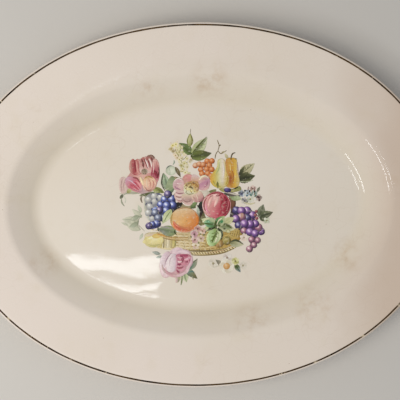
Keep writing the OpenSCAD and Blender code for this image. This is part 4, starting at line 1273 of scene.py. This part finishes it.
motif = Motif("violet")
motif.dab(20.2, 11, 5.4, 3.6, 0, ball("#7a6aa0 #4c3c7c #352858 #2c2240", (-0.3, 0.2)), rim=0.7)
motif.stroke([(18, 11.6), (19.6, 12.6), (21.6, 12.2)], 0.5, "#9484b4")
motif.done(grape_blue)


def apple_skin(u, v):
    """Pink on the left, crimson down the right, rose below."""
    colour = fade("#dc9c96 #e4a8a0 #da8c8a #c25460 #9e2236 #96242e", (u * 0.92 - v * 0.18 + 1) / 2)
    low = max(0.0, min(1.0, (-v - 0.1) / 0.9)) * max(0.0, 1 - abs(u - 0.1))
    colour = fade([colour, pigment("#c4606c")], low * 0.8)
    lit = math.exp(-((u + 0.1) / 0.34) ** 2 - ((v - 0.55) / 0.3) ** 2)
    return fade([colour, pigment("#f2c8bc")], lit * 0.85)


motif = Motif("red_apple")
red = enamel("apple_enamel", "#6f2028", grain=0.3, stipple=0.2, streak=(0.5, 1.2), line=0.7)
apple_x, apple_y = 12.2, 0.0
motif.dab(apple_x, apple_y, 21.2, 19.8, 0, apple_skin, rim=0.8, uneven=0.015)
motif.arc(apple_x, apple_y, 10.0, 150, 215, 0.8, "#ecc4bc", squeeze=0.93)
motif.arc(apple_x, apple_y, 9.2, 140, 210, 0.9, "#9c3e48", squeeze=0.93)
motif.arc(apple_x, apple_y, 9.7, 60, 135, 1.0, "#a02c3a", squeeze=0.93)
motif.arc(apple_x, apple_y - 0.4, 8.4, 70, 130, 0.7, "#84343a", squeeze=0.93)
motif.arc(apple_x - 0.4, apple_y, 9.0, -55, 35, 1.6, "#8a1c2c", squeeze=0.93)
motif.arc(apple_x - 0.4, apple_y, 7.4, -40, 20, 1.2, "#a42e3c", squeeze=0.93)
motif.arc(apple_x, apple_y, 10.2, -35, 45, 0.5, "#d09a94", squeeze=0.93)
motif.strokes(([(10.2, 9), (11.6, 7.4), (12.8, 6.4)], 1.0, "#8c2c38"),
              ([(16, 8.8), (14.4, 7.4), (13, 6.4)], 1.0, "#94303c"),
              ([(13.6, 6.6), (12.2, 3), (10.4, -1.4)], 2.2, "#f4c6ba"),
              ([(15.2, 6.8), (16.2, 3), (15.2, -1.6)], 2.0, "#a4303e"),
              ([(8, 7.4), (6.6, 3.4), (6.8, -1.6)], 1.4, "#cf8c88"),
              ([(9.4, 7), (7.4, 3), (6.4, -1.4)], 2.2, "#f0bcb0"),
              ([(17.6, 6.6), (19.6, 2.2), (19, -3.4)], 2.0, "#861a2a"),
              ([(20.4, 4.4), (20.8, 0), (19.4, -4.6)], 1.0, "#c86a70"),
              ([(4.4, 2), (4.8, -3), (7, -6.6)], 1.0, "#f09ab0"),
              ([(15.6, -2), (15, -5.6), (12.8, -8.4)], 1.4, "#b4404c"), ends=0.12)
motif.dab(11, 7.4, 3.4, 1.6, 20, ball("#f6d2c8 #e8aca4", (0, 0)), rim=0)
motif.stroke([(11.6, -8.8), (11.6, -10.6)], 1.6, "#c07c72")
motif.done(red)


# ---------------------------------------------------------------------------------------
# Purple grapes and ivy. The bunch hangs over the basket's right end and thins to single
# grapes, with an ivy leaf and its berries beside it.

motif = Motif("purple_grapes")
grape_purple = enamel("purple_enamel", "#2c1a2c", grain=0.15, stipple=0.16, line=0.8)
dusk = inks("#e8cae8 #b88cc2 #845c9a #583870 #3a264c")
wine = inks("#f0d2d6 #d49ea8 #a87084 #7a4f64 #583a4a")
navy = inks("#b4aed0 #6c6496 #4c4070 #342a54 #282042")
motif.stroke([(36, -20), (38.4, -25), (38, -31)], 0.8, "#6a4a44")
motif.dab(24.4, -8, 5, 9, 0, ball("#3a2a2c #4a3436"), rim=0.5)
motif.wash([(25, -3), (29, -2), (35.6, -2.2), (39.6, -6), (40.4, -11), (44, -15), (46, -19.6), (43, -21.6),
            (38, -21.8), (31.6, -20), (27, -16), (24.6, -9)],
           along((24, -4), (46, -18), "#33264a #4a2c54 #5c3460"), rim=0.6)
motif.wash([(37.6, -22.6), (42, -23.4), (43, -26.6), (40.4, -30), (37, -33.4), (35.4, -32), (37, -27.6)],
           along((40, -23), (36, -34), "#6a4266 #804c62 #8c5066"), rim=0.6)
for x, y, skin, size in ((26.6, -3.8, navy, 5.8), (38.2, -7.2, dusk, 5.8), (34.4, -4, dusk, 6),
                         (30.5, -4.2, dusk, 6), (34.6, -9.4, navy, 5.6), (30.6, -8.6, wine, 6),
                         (26.4, -10, dusk, 5.8), (44.8, -19.2, dusk, 5.4), (43, -16.4, wine, 5.6),
                         (40.6, -13.6, dusk, 5.4), (36.8, -14, dusk, 6), (28.4, -14.8, navy, 5.8),
                         (32.6, -13.6, dusk, 6.2), (32.2, -18.8, wine, 4.8), (36.6, -19.6, dusk, 5.8),
                         (40.4, -20.8, dusk, 5.6), (42.4, -25.8, wine, 4.4), (37.8, -25.2, wine, 4.8),
                         (39.6, -29.2, wine, 4.4), (36.3, -32.1, wine, 4.8)):
    motif.dab(x, y, size * 1.04, size * 1.04, 0, ball(skin, (-0.28, 0.34), 1.25), rim=0.85)
    motif.dab(x - size * 0.14, y + size * 0.16, size * 0.44, size * 0.28, 130,
              ball([skin[0], skin[0], skin[1]], (0, 0)), rim=0)
motif.dab(30.8, -7.4, 2.4, 3.6, 0, ball("#c9a08c #ad8078", (0, 0)), rim=0)
motif.done(grape_purple)

motif = Motif("ivy_sprig")
ivy = enamel("ivy_enamel", "#33382a", grain=0.45, line=0.85)
motif.stroke([(40, -6), (43, -8.4), (45, -10.6)], 0.7, "#6a4a44")
motif.leaf(43.4, -8.4, 9.6, 5.6, 72, blade("#5f6248 #84886c #9a9c84", rib="#44482f", dark="#5c6248"),
           teeth=0.06)
motif.leaf(43.4, -8.4, 6.8, 4, -28, blade("#3c4028 #5a5f40 #7a7a5c"), teeth=0.05)
motif.leaf(43.4, -8.4, 10.6, 5.6, 18, blade("#4c5234 #6f7454 #8a8468", rib="#2f3420", dark="#4a4f34"),
           teeth=0.06)
for x, y in ((41.2, -4.6), (41.6, -9.6), (40.6, -7.2)):
    motif.dab(x, y, 2.4, 2.4, 0, ball("#c98f90 #94484e #5f2c30"), rim=0.6)
small_flower(motif, 48.8, -11.2, 2.5, "#cdd0b4 #dcdcc8 #b9bfa0", "#a09a64", petals=4, turn=45)
motif.done(ivy)


# ---------------------------------------------------------------------------------------
# In front of the basket: gold plums, the big variegated leaf, and a garland of small pink
# blossoms.

motif = Motif("gold_plums")
gold = enamel("gold_enamel", "#6a5424", grain=0.3, line=0.75)
motif.dab(25, -20.8, 10, 7, 14, petal("#b09450 #bfa258 #a88c48"), rim=0.5)
for k in range(5):
    motif.stroke([(21.6 + 1.6 * k, -23.4), (23 + 1.6 * k, -18.6)], 0.45, "#80662c")
    motif.stroke([(20.8, -22.8 + 1.2 * k), (29.4, -21.6 + 1.2 * k)], 0.4, "#d0b878")
motif.leaf(21.6, -28, 10.6, 4.8, -4, blade("#77764a #aaa880 #c2bf9c", dark="#c4c4a4"), rim=0.5)
motif.stroke([(22, -27), (26.4, -25.6), (31.6, -28.4)], 1.5, "#4c5030", ends=0.2)
motif.dab(14.4, -28, 6.4, 5.6, 20, ball("#d6b878 #b8985a #a07c44 #7c6434"), rim=0.7)
motif.dab(19.6, -25.8, 6.4, 6.4, 0, ball("#cfc088 #b0a05c #94843e #6a5c2a"), rim=0.75)
motif.arc(19.6, -25.8, 2.2, 20, 160, 0.5, "#7a6c34")
motif.stroke([(17.4, -22.6), (21, -21.6), (24, -23.6)], 0.8, "#d8bf70")
motif.done(gold)

motif = Motif("lobed_leaf")
variegated = enamel("variegated_enamel", "#59602f", grain=0.35, line=0.7)
cream_edge, night = inks("#d6d2a4 #353c18")


def lobe(x, y, long, wide, turn, heart):
    """A cream-edged lobe with a green heart and a pale rib."""
    def paint(s, w):
        colour = fade([heart, fade([heart, cream_edge], 0.5), cream_edge], s * 0.55 + abs(w) ** 2 * 0.75)
        return fade([colour, cream_edge], 0.5) if abs(w) < 0.1 else colour

    motif.leaf(x, y, long, wide, turn, paint, rim=0.6, teeth=0.04)


lobe(17, -13.4, 9.4, 5.4, 28, pigment("#a7a870"))
motif.leaf(12.6, -15, 13.4, 6.4, -12, blade("#6a7040 #7f8860 #8a9468 #dcd8ae", dark="#e0dcb4"), rim=0.6)
motif.stroke([(16, -13.6), (20, -14.8), (23.6, -17)], 1.5, "#5c6434", ends=0.2)
motif.dab(18, -17.2, 1.8, 1.3, 0, ball("#4f5236 #5f6444"), rim=0.2)
motif.leaf(12, -15.4, 10.8, 5.4, 196, blade("#dcdaa8 #b9c084 #c4c894 #dcd9a8"), rim=0.5)
motif.stroke([(11.4, -16), (8.6, -16.8), (5.4, -18.4)], 2.2, night, ends=0.25)
motif.leaf(12.4, -14.6, 12.2, 7.6, 158, blade("#5c7030 #5f8a58 #8ab48a #dcdaa8", dark="#e0dcb0"), rim=0.6)
motif.dab(6.2, -11.8, 2.6, 1.7, 160, ball("#b4dcbc #6fa478 #4c7c50", (-0.2, 0.2)), rim=0.3)
motif.stroke([(3, -13), (6, -13.6), (11, -14)], 1.2, "#4f6a30", ends=0.2)
motif.stroke([(2, -12.6), (4, -10.4), (7.4, -9.2)], 1.0, "#e8e2b8", ends=0.3)
motif.leaf(12, -15.4, 9.8, 6.8, 52, blade("#59672c #4f7c46 #6f9a5c #c9cf98", dark="#e2dcb2"), rim=0.6)
motif.dab(16, -12, 2.4, 2, 50, ball("#4f9060 #3f7040", (0, 0)), rim=0.2)
motif.stroke([(12.4, -14), (14, -10.8), (16.6, -9.2)], 0.9, "#ece2bc", ends=0.3)
motif.wash([(11.6, -16.8), (8, -18.4), (5.2, -21.4), (4.8, -25.6), (6.4, -29.2), (9.6, -30), (12.4, -28),
            (14.8, -25), (15.8, -21.2), (14.6, -18)],
           along((5, -22), (15.6, -22), "#dfe2ae #b9d294 #a8c084 #8ca45c #c0cc98 #e4e4ba"), rim=0.65)
motif.stroke([(6.8, -22), (6.6, -25.4), (8, -28.6)], 2.2, "#c6e0a0", ends=0.3)
motif.strokes(([(13.2, -21), (12.4, -24.6), (10.8, -27.4)], 2.0, "#dfe2b6"),
              ([(12.6, -17.6), (11.8, -20.8), (10, -24), (8.8, -27.6)], 1.5, "#5a6a28"), ends=0.2)
for start, stop in (((11.6, -20), (8.6, -20.6)), ((10.8, -22.4), (8, -23.4)), ((9.8, -25), (7.6, -26.4)),
                    ((12, -19.6), (14, -20.6)), ((11, -22), (12.8, -23.6))):
    motif.stroke([start, stop], 0.7, "#6f8038")
motif.stroke([(13, -17), (15.2, -18.4), (16.4, -21.4), (15.4, -25.6)], 1.6, "#3d4618", ends=0.25)
motif.strokes(([(13, -16.8), (13.8, -17.6), (14.4, -19)], 1.6, night),
              ([(11.6, -11.4), (11.4, -14.6), (12, -17.6)], 1.7, "#4a5622"), ends=0.3)
motif.dab(14.2, -14.8, 1.9, 1.6, 0, ball("#454f1e #5a6430"), rim=0.2)
motif.stroke([(4.6, -18.4), (3.4, -20), (2.2, -22)], 1.3, "#4c4424", ends=0.3)
motif.dab(20.6, -19, 3.4, 2.6, 0, ball("#e8e2b8 #b8b480 #8a8650", (0, 0)), rim=0.5)
motif.done(variegated)

motif = Motif("basket_blossoms")
blossom_pink = enamel("blossom_enamel", "#8c6660", grain=0.25, line=0.65)
small_flower(motif, 32.2, -23.6, 2.9, "#e2cdbc #e8d8c8 #dcc6b4", "#cdb79c", rim=0.35)
small_flower(motif, -3, -29.4, 2.8, "#dcc4a8 #e6d8be #cfae9c", "#b9a05c")
small_flower(motif, 0.8, -24.4, 2.6, "#d6bda4 #c9a898 #e2cfb4", "#9a8048")
small_flower(motif, -3.6, -25.2, 2.8, "#cfa6a0 #dcbcb2 #bc8f8c", "#8a6a50")
small_flower(motif, 1.8, -18.8, 2.6, "#d9bca8 #c79c8c #e6d2bc", "#9c7448")
small_flower(motif, -1.6, -17.2, 2.6, "#c79a90 #b8857c #d8b8aa", "#80584a")
small_flower(motif, -4, -21.2, 3.0, "#b98a90 #c99ca0 #dcbcb8", "#7c5650")
for x, y in ((-6.4, -23), (3, -21.6), (-1, -27.4), (0.4, -21)):
    motif.dab(x, y, 1.6, 1.1, hand.uniform(0, 180), ball("#8c8a5c #66683c"), rim=0.3)
motif.done(blossom_pink)


# ---------------------------------------------------------------------------------------
# Below the basket: the cabbage rose, pale where it is lit and deep rose in its folds, its
# leaves, and a spray of daisies.

motif = Motif("rose_leaves")
motif.leaf(-28.6, -35.6, 6.6, 2.6, 166, blade("#6c7460 #8a9080 #a8ac9c"), rim=0.7)
motif.leaf(-27.4, -37, 5, 2, 196, blade("#8c9480 #b4b8a8"), rim=0.5)
motif.leaf(-16, -51.6, 5.4, 2.6, -96, blade("#d6c79c #e0d4b0"), rim=0.3)
motif.leaf(-15, -49, 7.8, 3.8, -98, blade("#8c8a64 #c0bc94 #b0a988"), rim=0.5)
motif.stroke([(-15, -50), (-15.4, -56)], 0.6, "#7d745a")
motif.leaf(-12.6, -47, 10, 6, -72, blade("#8a9a78 #b9c096 #cdceaa", rib="#7c8a62", dark="#cfd4b0"), rim=0.6)
motif.stroke([(-6.2, -49), (-4.6, -51.4), (-2.8, -53.6)], 1.3, "#55501e", ends=0.3)
motif.stroke([(-5.6, -51), (-4.8, -54.4)], 0.9, "#a09a68")
motif.stroke([(-13, -50.4), (-13.2, -55), (-13.8, -58.4)], 1.2, "#848c60", ends=0.4)
motif.leaf(-11, -46, 12.2, 5, -40, blade("#6a8070 #7c8e74 #77724c #5f5634", dark="#55604a"), rim=0.8)
motif.leaf(-7, -47, 9.6, 4, 56, blade("#5f7a6c #7a8a70 #958c74", dark="#a8a48c"), rim=0.8)
motif.strokes(([(-7.6, -45), (-5.4, -42.4), (-1.8, -39)], 0.6, "#6f6a50"),
              ([(-9, -49.6), (-6, -48.4), (-4, -49)], 0.8, "#5f8078"))
motif.done(sage)

motif = Motif("cabbage_rose")
cabbage = enamel("cabbage_rose_enamel", "#a87880", grain=0.25, line=0.5)
snow, shell, pink, deep_rose = inks("#eedddd #e3caca #d3a4a6 #b06a72")
motif.dab(-23.6, -43.4, 19, 12, 84, petal([shell, snow, shell], pink, 0.4), rim=0.5)
motif.dab(-11.8, -40.2, 16, 12, 70, petal([pink, shell, pink], shell, 0.4), rim=0.5)
motif.dab(-16.4, -35.6, 13, 9.4, 10, petal([pink, shell, shell], snow, 0.5), rim=0.5)
motif.dab(-19.4, -48.4, 14, 8.4, -16, petal([shell, pink, shell], pink, 0.4), rim=0.5)
motif.dab(-12.4, -46.4, 10, 9, 30, petal([deep_rose, pink, shell], snow, 0.5), rim=0.5)
motif.wash([(-29.2, -41), (-27.4, -36.4), (-23.6, -33.6), (-21.4, -36), (-24, -40), (-25.6, -45),
            (-28, -47)],
           along((-29, -42), (-23, -42), "#e8d6d4 #dcc4c8 #c9aab2"), rim=0.5)
motif.wash([(-19.6, -32.6), (-16.4, -30.6), (-13.4, -32), (-13.8, -35), (-18, -36.4), (-20, -35)],
           along((-19, -32), (-14, -35), "#ecd4d6 #e6c8cc #c8a0b4"), rim=0.5)
motif.wash([(-24.6, -39), (-21.6, -35.6), (-17.6, -35.8), (-16.8, -40), (-17.2, -46), (-20, -49),
            (-24, -47.4)],
           along((-25, -42), (-17, -42), "#e6d2d2 #ecdedc #e0ced0 #cbb6bc"), rim=0.65)
motif.strokes(([(-20.6, -34.6), (-23.6, -38.4), (-25.6, -42.8)], 1.0, "#bd9ca6"),
              ([(-19.6, -36.8), (-21.8, -40), (-22, -44.4)], 0.8, "#d3bcc0"),
              ([(-26.8, -45.6), (-24.4, -48.6), (-20.6, -50.4), (-16.6, -50.2)], 1.8, "#cf9ea2"), ends=0.2)
motif.stroke([(-27.6, -43), (-26.8, -46.8), (-24.6, -49.8)], 1.3, "#c9aea8", ends=0.3)
motif.wash([(-17.2, -36.2), (-12, -35.4), (-7.2, -36.4), (-6.2, -39.2), (-8.4, -44), (-11.4, -48),
            (-15.6, -50.2), (-17.8, -46), (-17, -40.6)],
           along((-16, -36), (-12, -50), "#c67e8c #c47284 #d08c98 #cf98a0 #c49a9a"), rim=0.55)
motif.strokes(([(-14.4, -36.2), (-12.6, -39), (-13, -42)], 2.0, "#a04a60"),
              ([(-13.8, -36.4), (-10.6, -36.8), (-7.4, -36.2)], 1.5, "#b0506a"),
              ([(-16.6, -37.6), (-14.6, -38.4), (-12.8, -38.2)], 1.1, "#e8b8be"),
              ([(-11.4, -39.6), (-9, -39.2), (-6.8, -37.6)], 1.7, "#eabcc4"),
              ([(-11, -41.4), (-8.6, -41.2), (-6.6, -39.6)], 1.2, "#8f4456"),
              ([(-16.8, -40.4), (-15, -41.4), (-13, -40.8)], 1.3, "#f0d0d2"),
              ([(-16.6, -42.6), (-15.2, -43.4), (-13.6, -42.8)], 1.6, "#96405a"),
              ([(-13.4, -43.6), (-11.4, -42.6), (-9.6, -43.2)], 1.3, "#d88c9c"),
              ([(-16.8, -45.2), (-14.6, -46), (-11.8, -44.8)], 1.5, "#a85264"),
              ([(-15, -47), (-12.6, -47.2), (-10.4, -45.6)], 1.4, "#e6a4b2"),
              ([(-17, -47.2), (-15.8, -48.6), (-14.6, -48.8)], 1.4, "#a04c62"),
              ([(-17.6, -49), (-14.6, -50.6), (-11.4, -49.4)], 1.0, "#d9a0a0"),
              ([(-10, -46.4), (-8.4, -44.2), (-7.4, -41.8)], 1.3, "#e3c4c4"), ends=0.15)
motif.strokes(([(-17.2, -34.6), (-12.6, -33.4), (-7.6, -35)], 2.6, "#ecd2d6"),
              ([(-5.9, -37), (-6.2, -42), (-9.2, -47)], 2.2, "#dfbac0"),
              ([(-10, -48.6), (-13.4, -50.8), (-17, -51.4)], 2.2, "#e4c2c4"),
              ([(-17.6, -36.8), (-16.8, -41.6), (-17.8, -47.4)], 1.3, "#dba6b4"),
              ([(-8.4, -38.6), (-8, -41.4), (-9.4, -44.6)], 1.0, "#d992a2"), ends=0.2)
motif.stroke([(-18, -52.4), (-16.8, -54.6), (-17.4, -56.6)], 2.0, "#e0c4bc", ends=0.3)
motif.done(cabbage)

motif = Motif("daisy_spray")
daisy = enamel("daisy_enamel", "#9a9078", grain=0.25, line=0.6)
for points in ([(12, -45), (17, -43.4), (24, -43)], [(8.6, -38.8), (12, -41.6), (16, -43)],
               [(26, -43.4), (29.6, -44.6), (33.4, -44)]):
    motif.stroke(points, 0.4, "#b0a488")
small_flower(motif, 9.8, -42.6, 3.7, "#ddd3c2 #d3c9b6 #e3dbca", "#bdb08c", petals=7, rim=0.45)
small_flower(motif, 31.6, -44.2, 3, "#ded5c4 #d6ccba", "#c4b894", petals=6, rim=0.4)
motif.leaf(17.6, -44.6, 7.8, 3.6, 142, blade("#7c7a68 #948a76 #6f6e5c", dark="#a8a08c"), rim=0.7)
small_flower(motif, 20, -38.4, 3.4, "#dcd0c4 #cfc0b4 #e2dace", "#b09a84", petals=6)
motif.leaf(25.6, -43, 7.6, 3.8, -56, blade("#4c5c2a #5c6a34 #7c8c80 #94a0a4", rib="#38441c"), rim=0.8)
small_flower(motif, 19.6, -44.6, 5.3, "#dfd6c2 #e8e0ce #d3c8ae", "#d8a868", petals=9, rim=0.6)
motif.dab(19.6, -44.6, 5, 4.8, 0, ball("#e6c08c #d09c5c #b9843f", (-0.2, 0.3)), rim=0.5)
small_flower(motif, 26, -41, 2.9, "#c9c47c #b3b060 #d8d49c", "#94883c", petals=6)
motif.done(daisy)


# ---------------------------------------------------------------------------------------
# Studio. A pale round table, even daylight all round, a warm lamp to the left, the panes of
# a window overhead to the front left and a far one beyond it, and a camera above.

table_reach = 14.0
table_sides = 96
table_edge = [(table_reach * math.cos(2 * math.pi * k / table_sides),
               table_reach * math.sin(2 * math.pi * k / table_sides), 0) for k in range(table_sides)]
table_mesh = new_mesh("table", table_edge, [tuple(range(table_sides))])
table_finish = Finish("pale_table")
table_tone = table_finish.mix(table_finish.noise(4.0, 3.0), pigment("#cfcac2"), pigment("#d6d1ca"))
table_mesh.materials.append(table_finish.glassy(table_tone, 0.6 + table_finish.noise(40.0) * 0.1))
table = bpy.data.objects.new("table", table_mesh)
bpy.context.collection.objects.link(table)

world = bpy.data.worlds.new("studio")
world.use_nodes = True
world.node_tree.nodes["Background"].inputs["Color"].default_value = (0.93, 0.96, 1.0, 1.0)
world.node_tree.nodes["Background"].inputs["Strength"].default_value = 0.43
bpy.context.scene.world = world


def soft_light(name, place, size, power, colour, target=(0, 0, 0), mirrored=True):
    """A soft rectangular lamp; one that is not mirrored lights the glaze but never shows in it."""
    lamp = bpy.data.lights.new(name, "AREA")
    lamp.shape = "RECTANGLE"
    lamp.size, lamp.size_y = size
    lamp.energy = power
    lamp.color = colour
    holder = bpy.data.objects.new(name, lamp)
    holder.location = place
    way = Vector(target) - holder.location
    holder.rotation_euler = way.to_track_quat("-Z", "Y").to_euler()
    holder.visible_glossy = mirrored
    bpy.context.collection.objects.link(holder)


warm = (1.0, 0.95, 0.88)
daylight = (0.92, 0.96, 1.0)
soft_light("left_lamp", (-0.31, -0.06, 0.62), (0.34, 0.34), 2.05, warm, mirrored=False)
for name, x, y, wide, deep, power in (("upper_pane", -0.160, -0.168, 0.21, 0.030, 0.135),
                                      ("lower_pane", -0.150, -0.214, 0.19, 0.018, 0.085),
                                      ("sill", -0.150, -0.240, 0.19, 0.006, 0.035)):
    soft_light(name, (x, y, 1.10), (wide, deep), power, daylight, target=(x, y, 0))

soft_light("far_window", (-0.65, -0.43, 0.85), (0.55, 0.10), 1.5, daylight)

camera_offset = (-0.014, 0.025, 0.500)
camera_tilt = (-2.3, -1.6, -1.0)
camera_data = bpy.data.cameras.new("camera")
camera_data.sensor_width = 36
camera_data.lens = 64.5
camera = bpy.data.objects.new("camera", camera_data)
camera.location = Vector((middle_x, middle_y, height)) + Vector(camera_offset)
camera.rotation_euler = [math.radians(angle) for angle in camera_tilt]
bpy.context.collection.objects.link(camera)
bpy.context.scene.camera = camera
bpy.context.scene.view_settings.view_transform = "Standard"

bpy.context.view_layer.update()
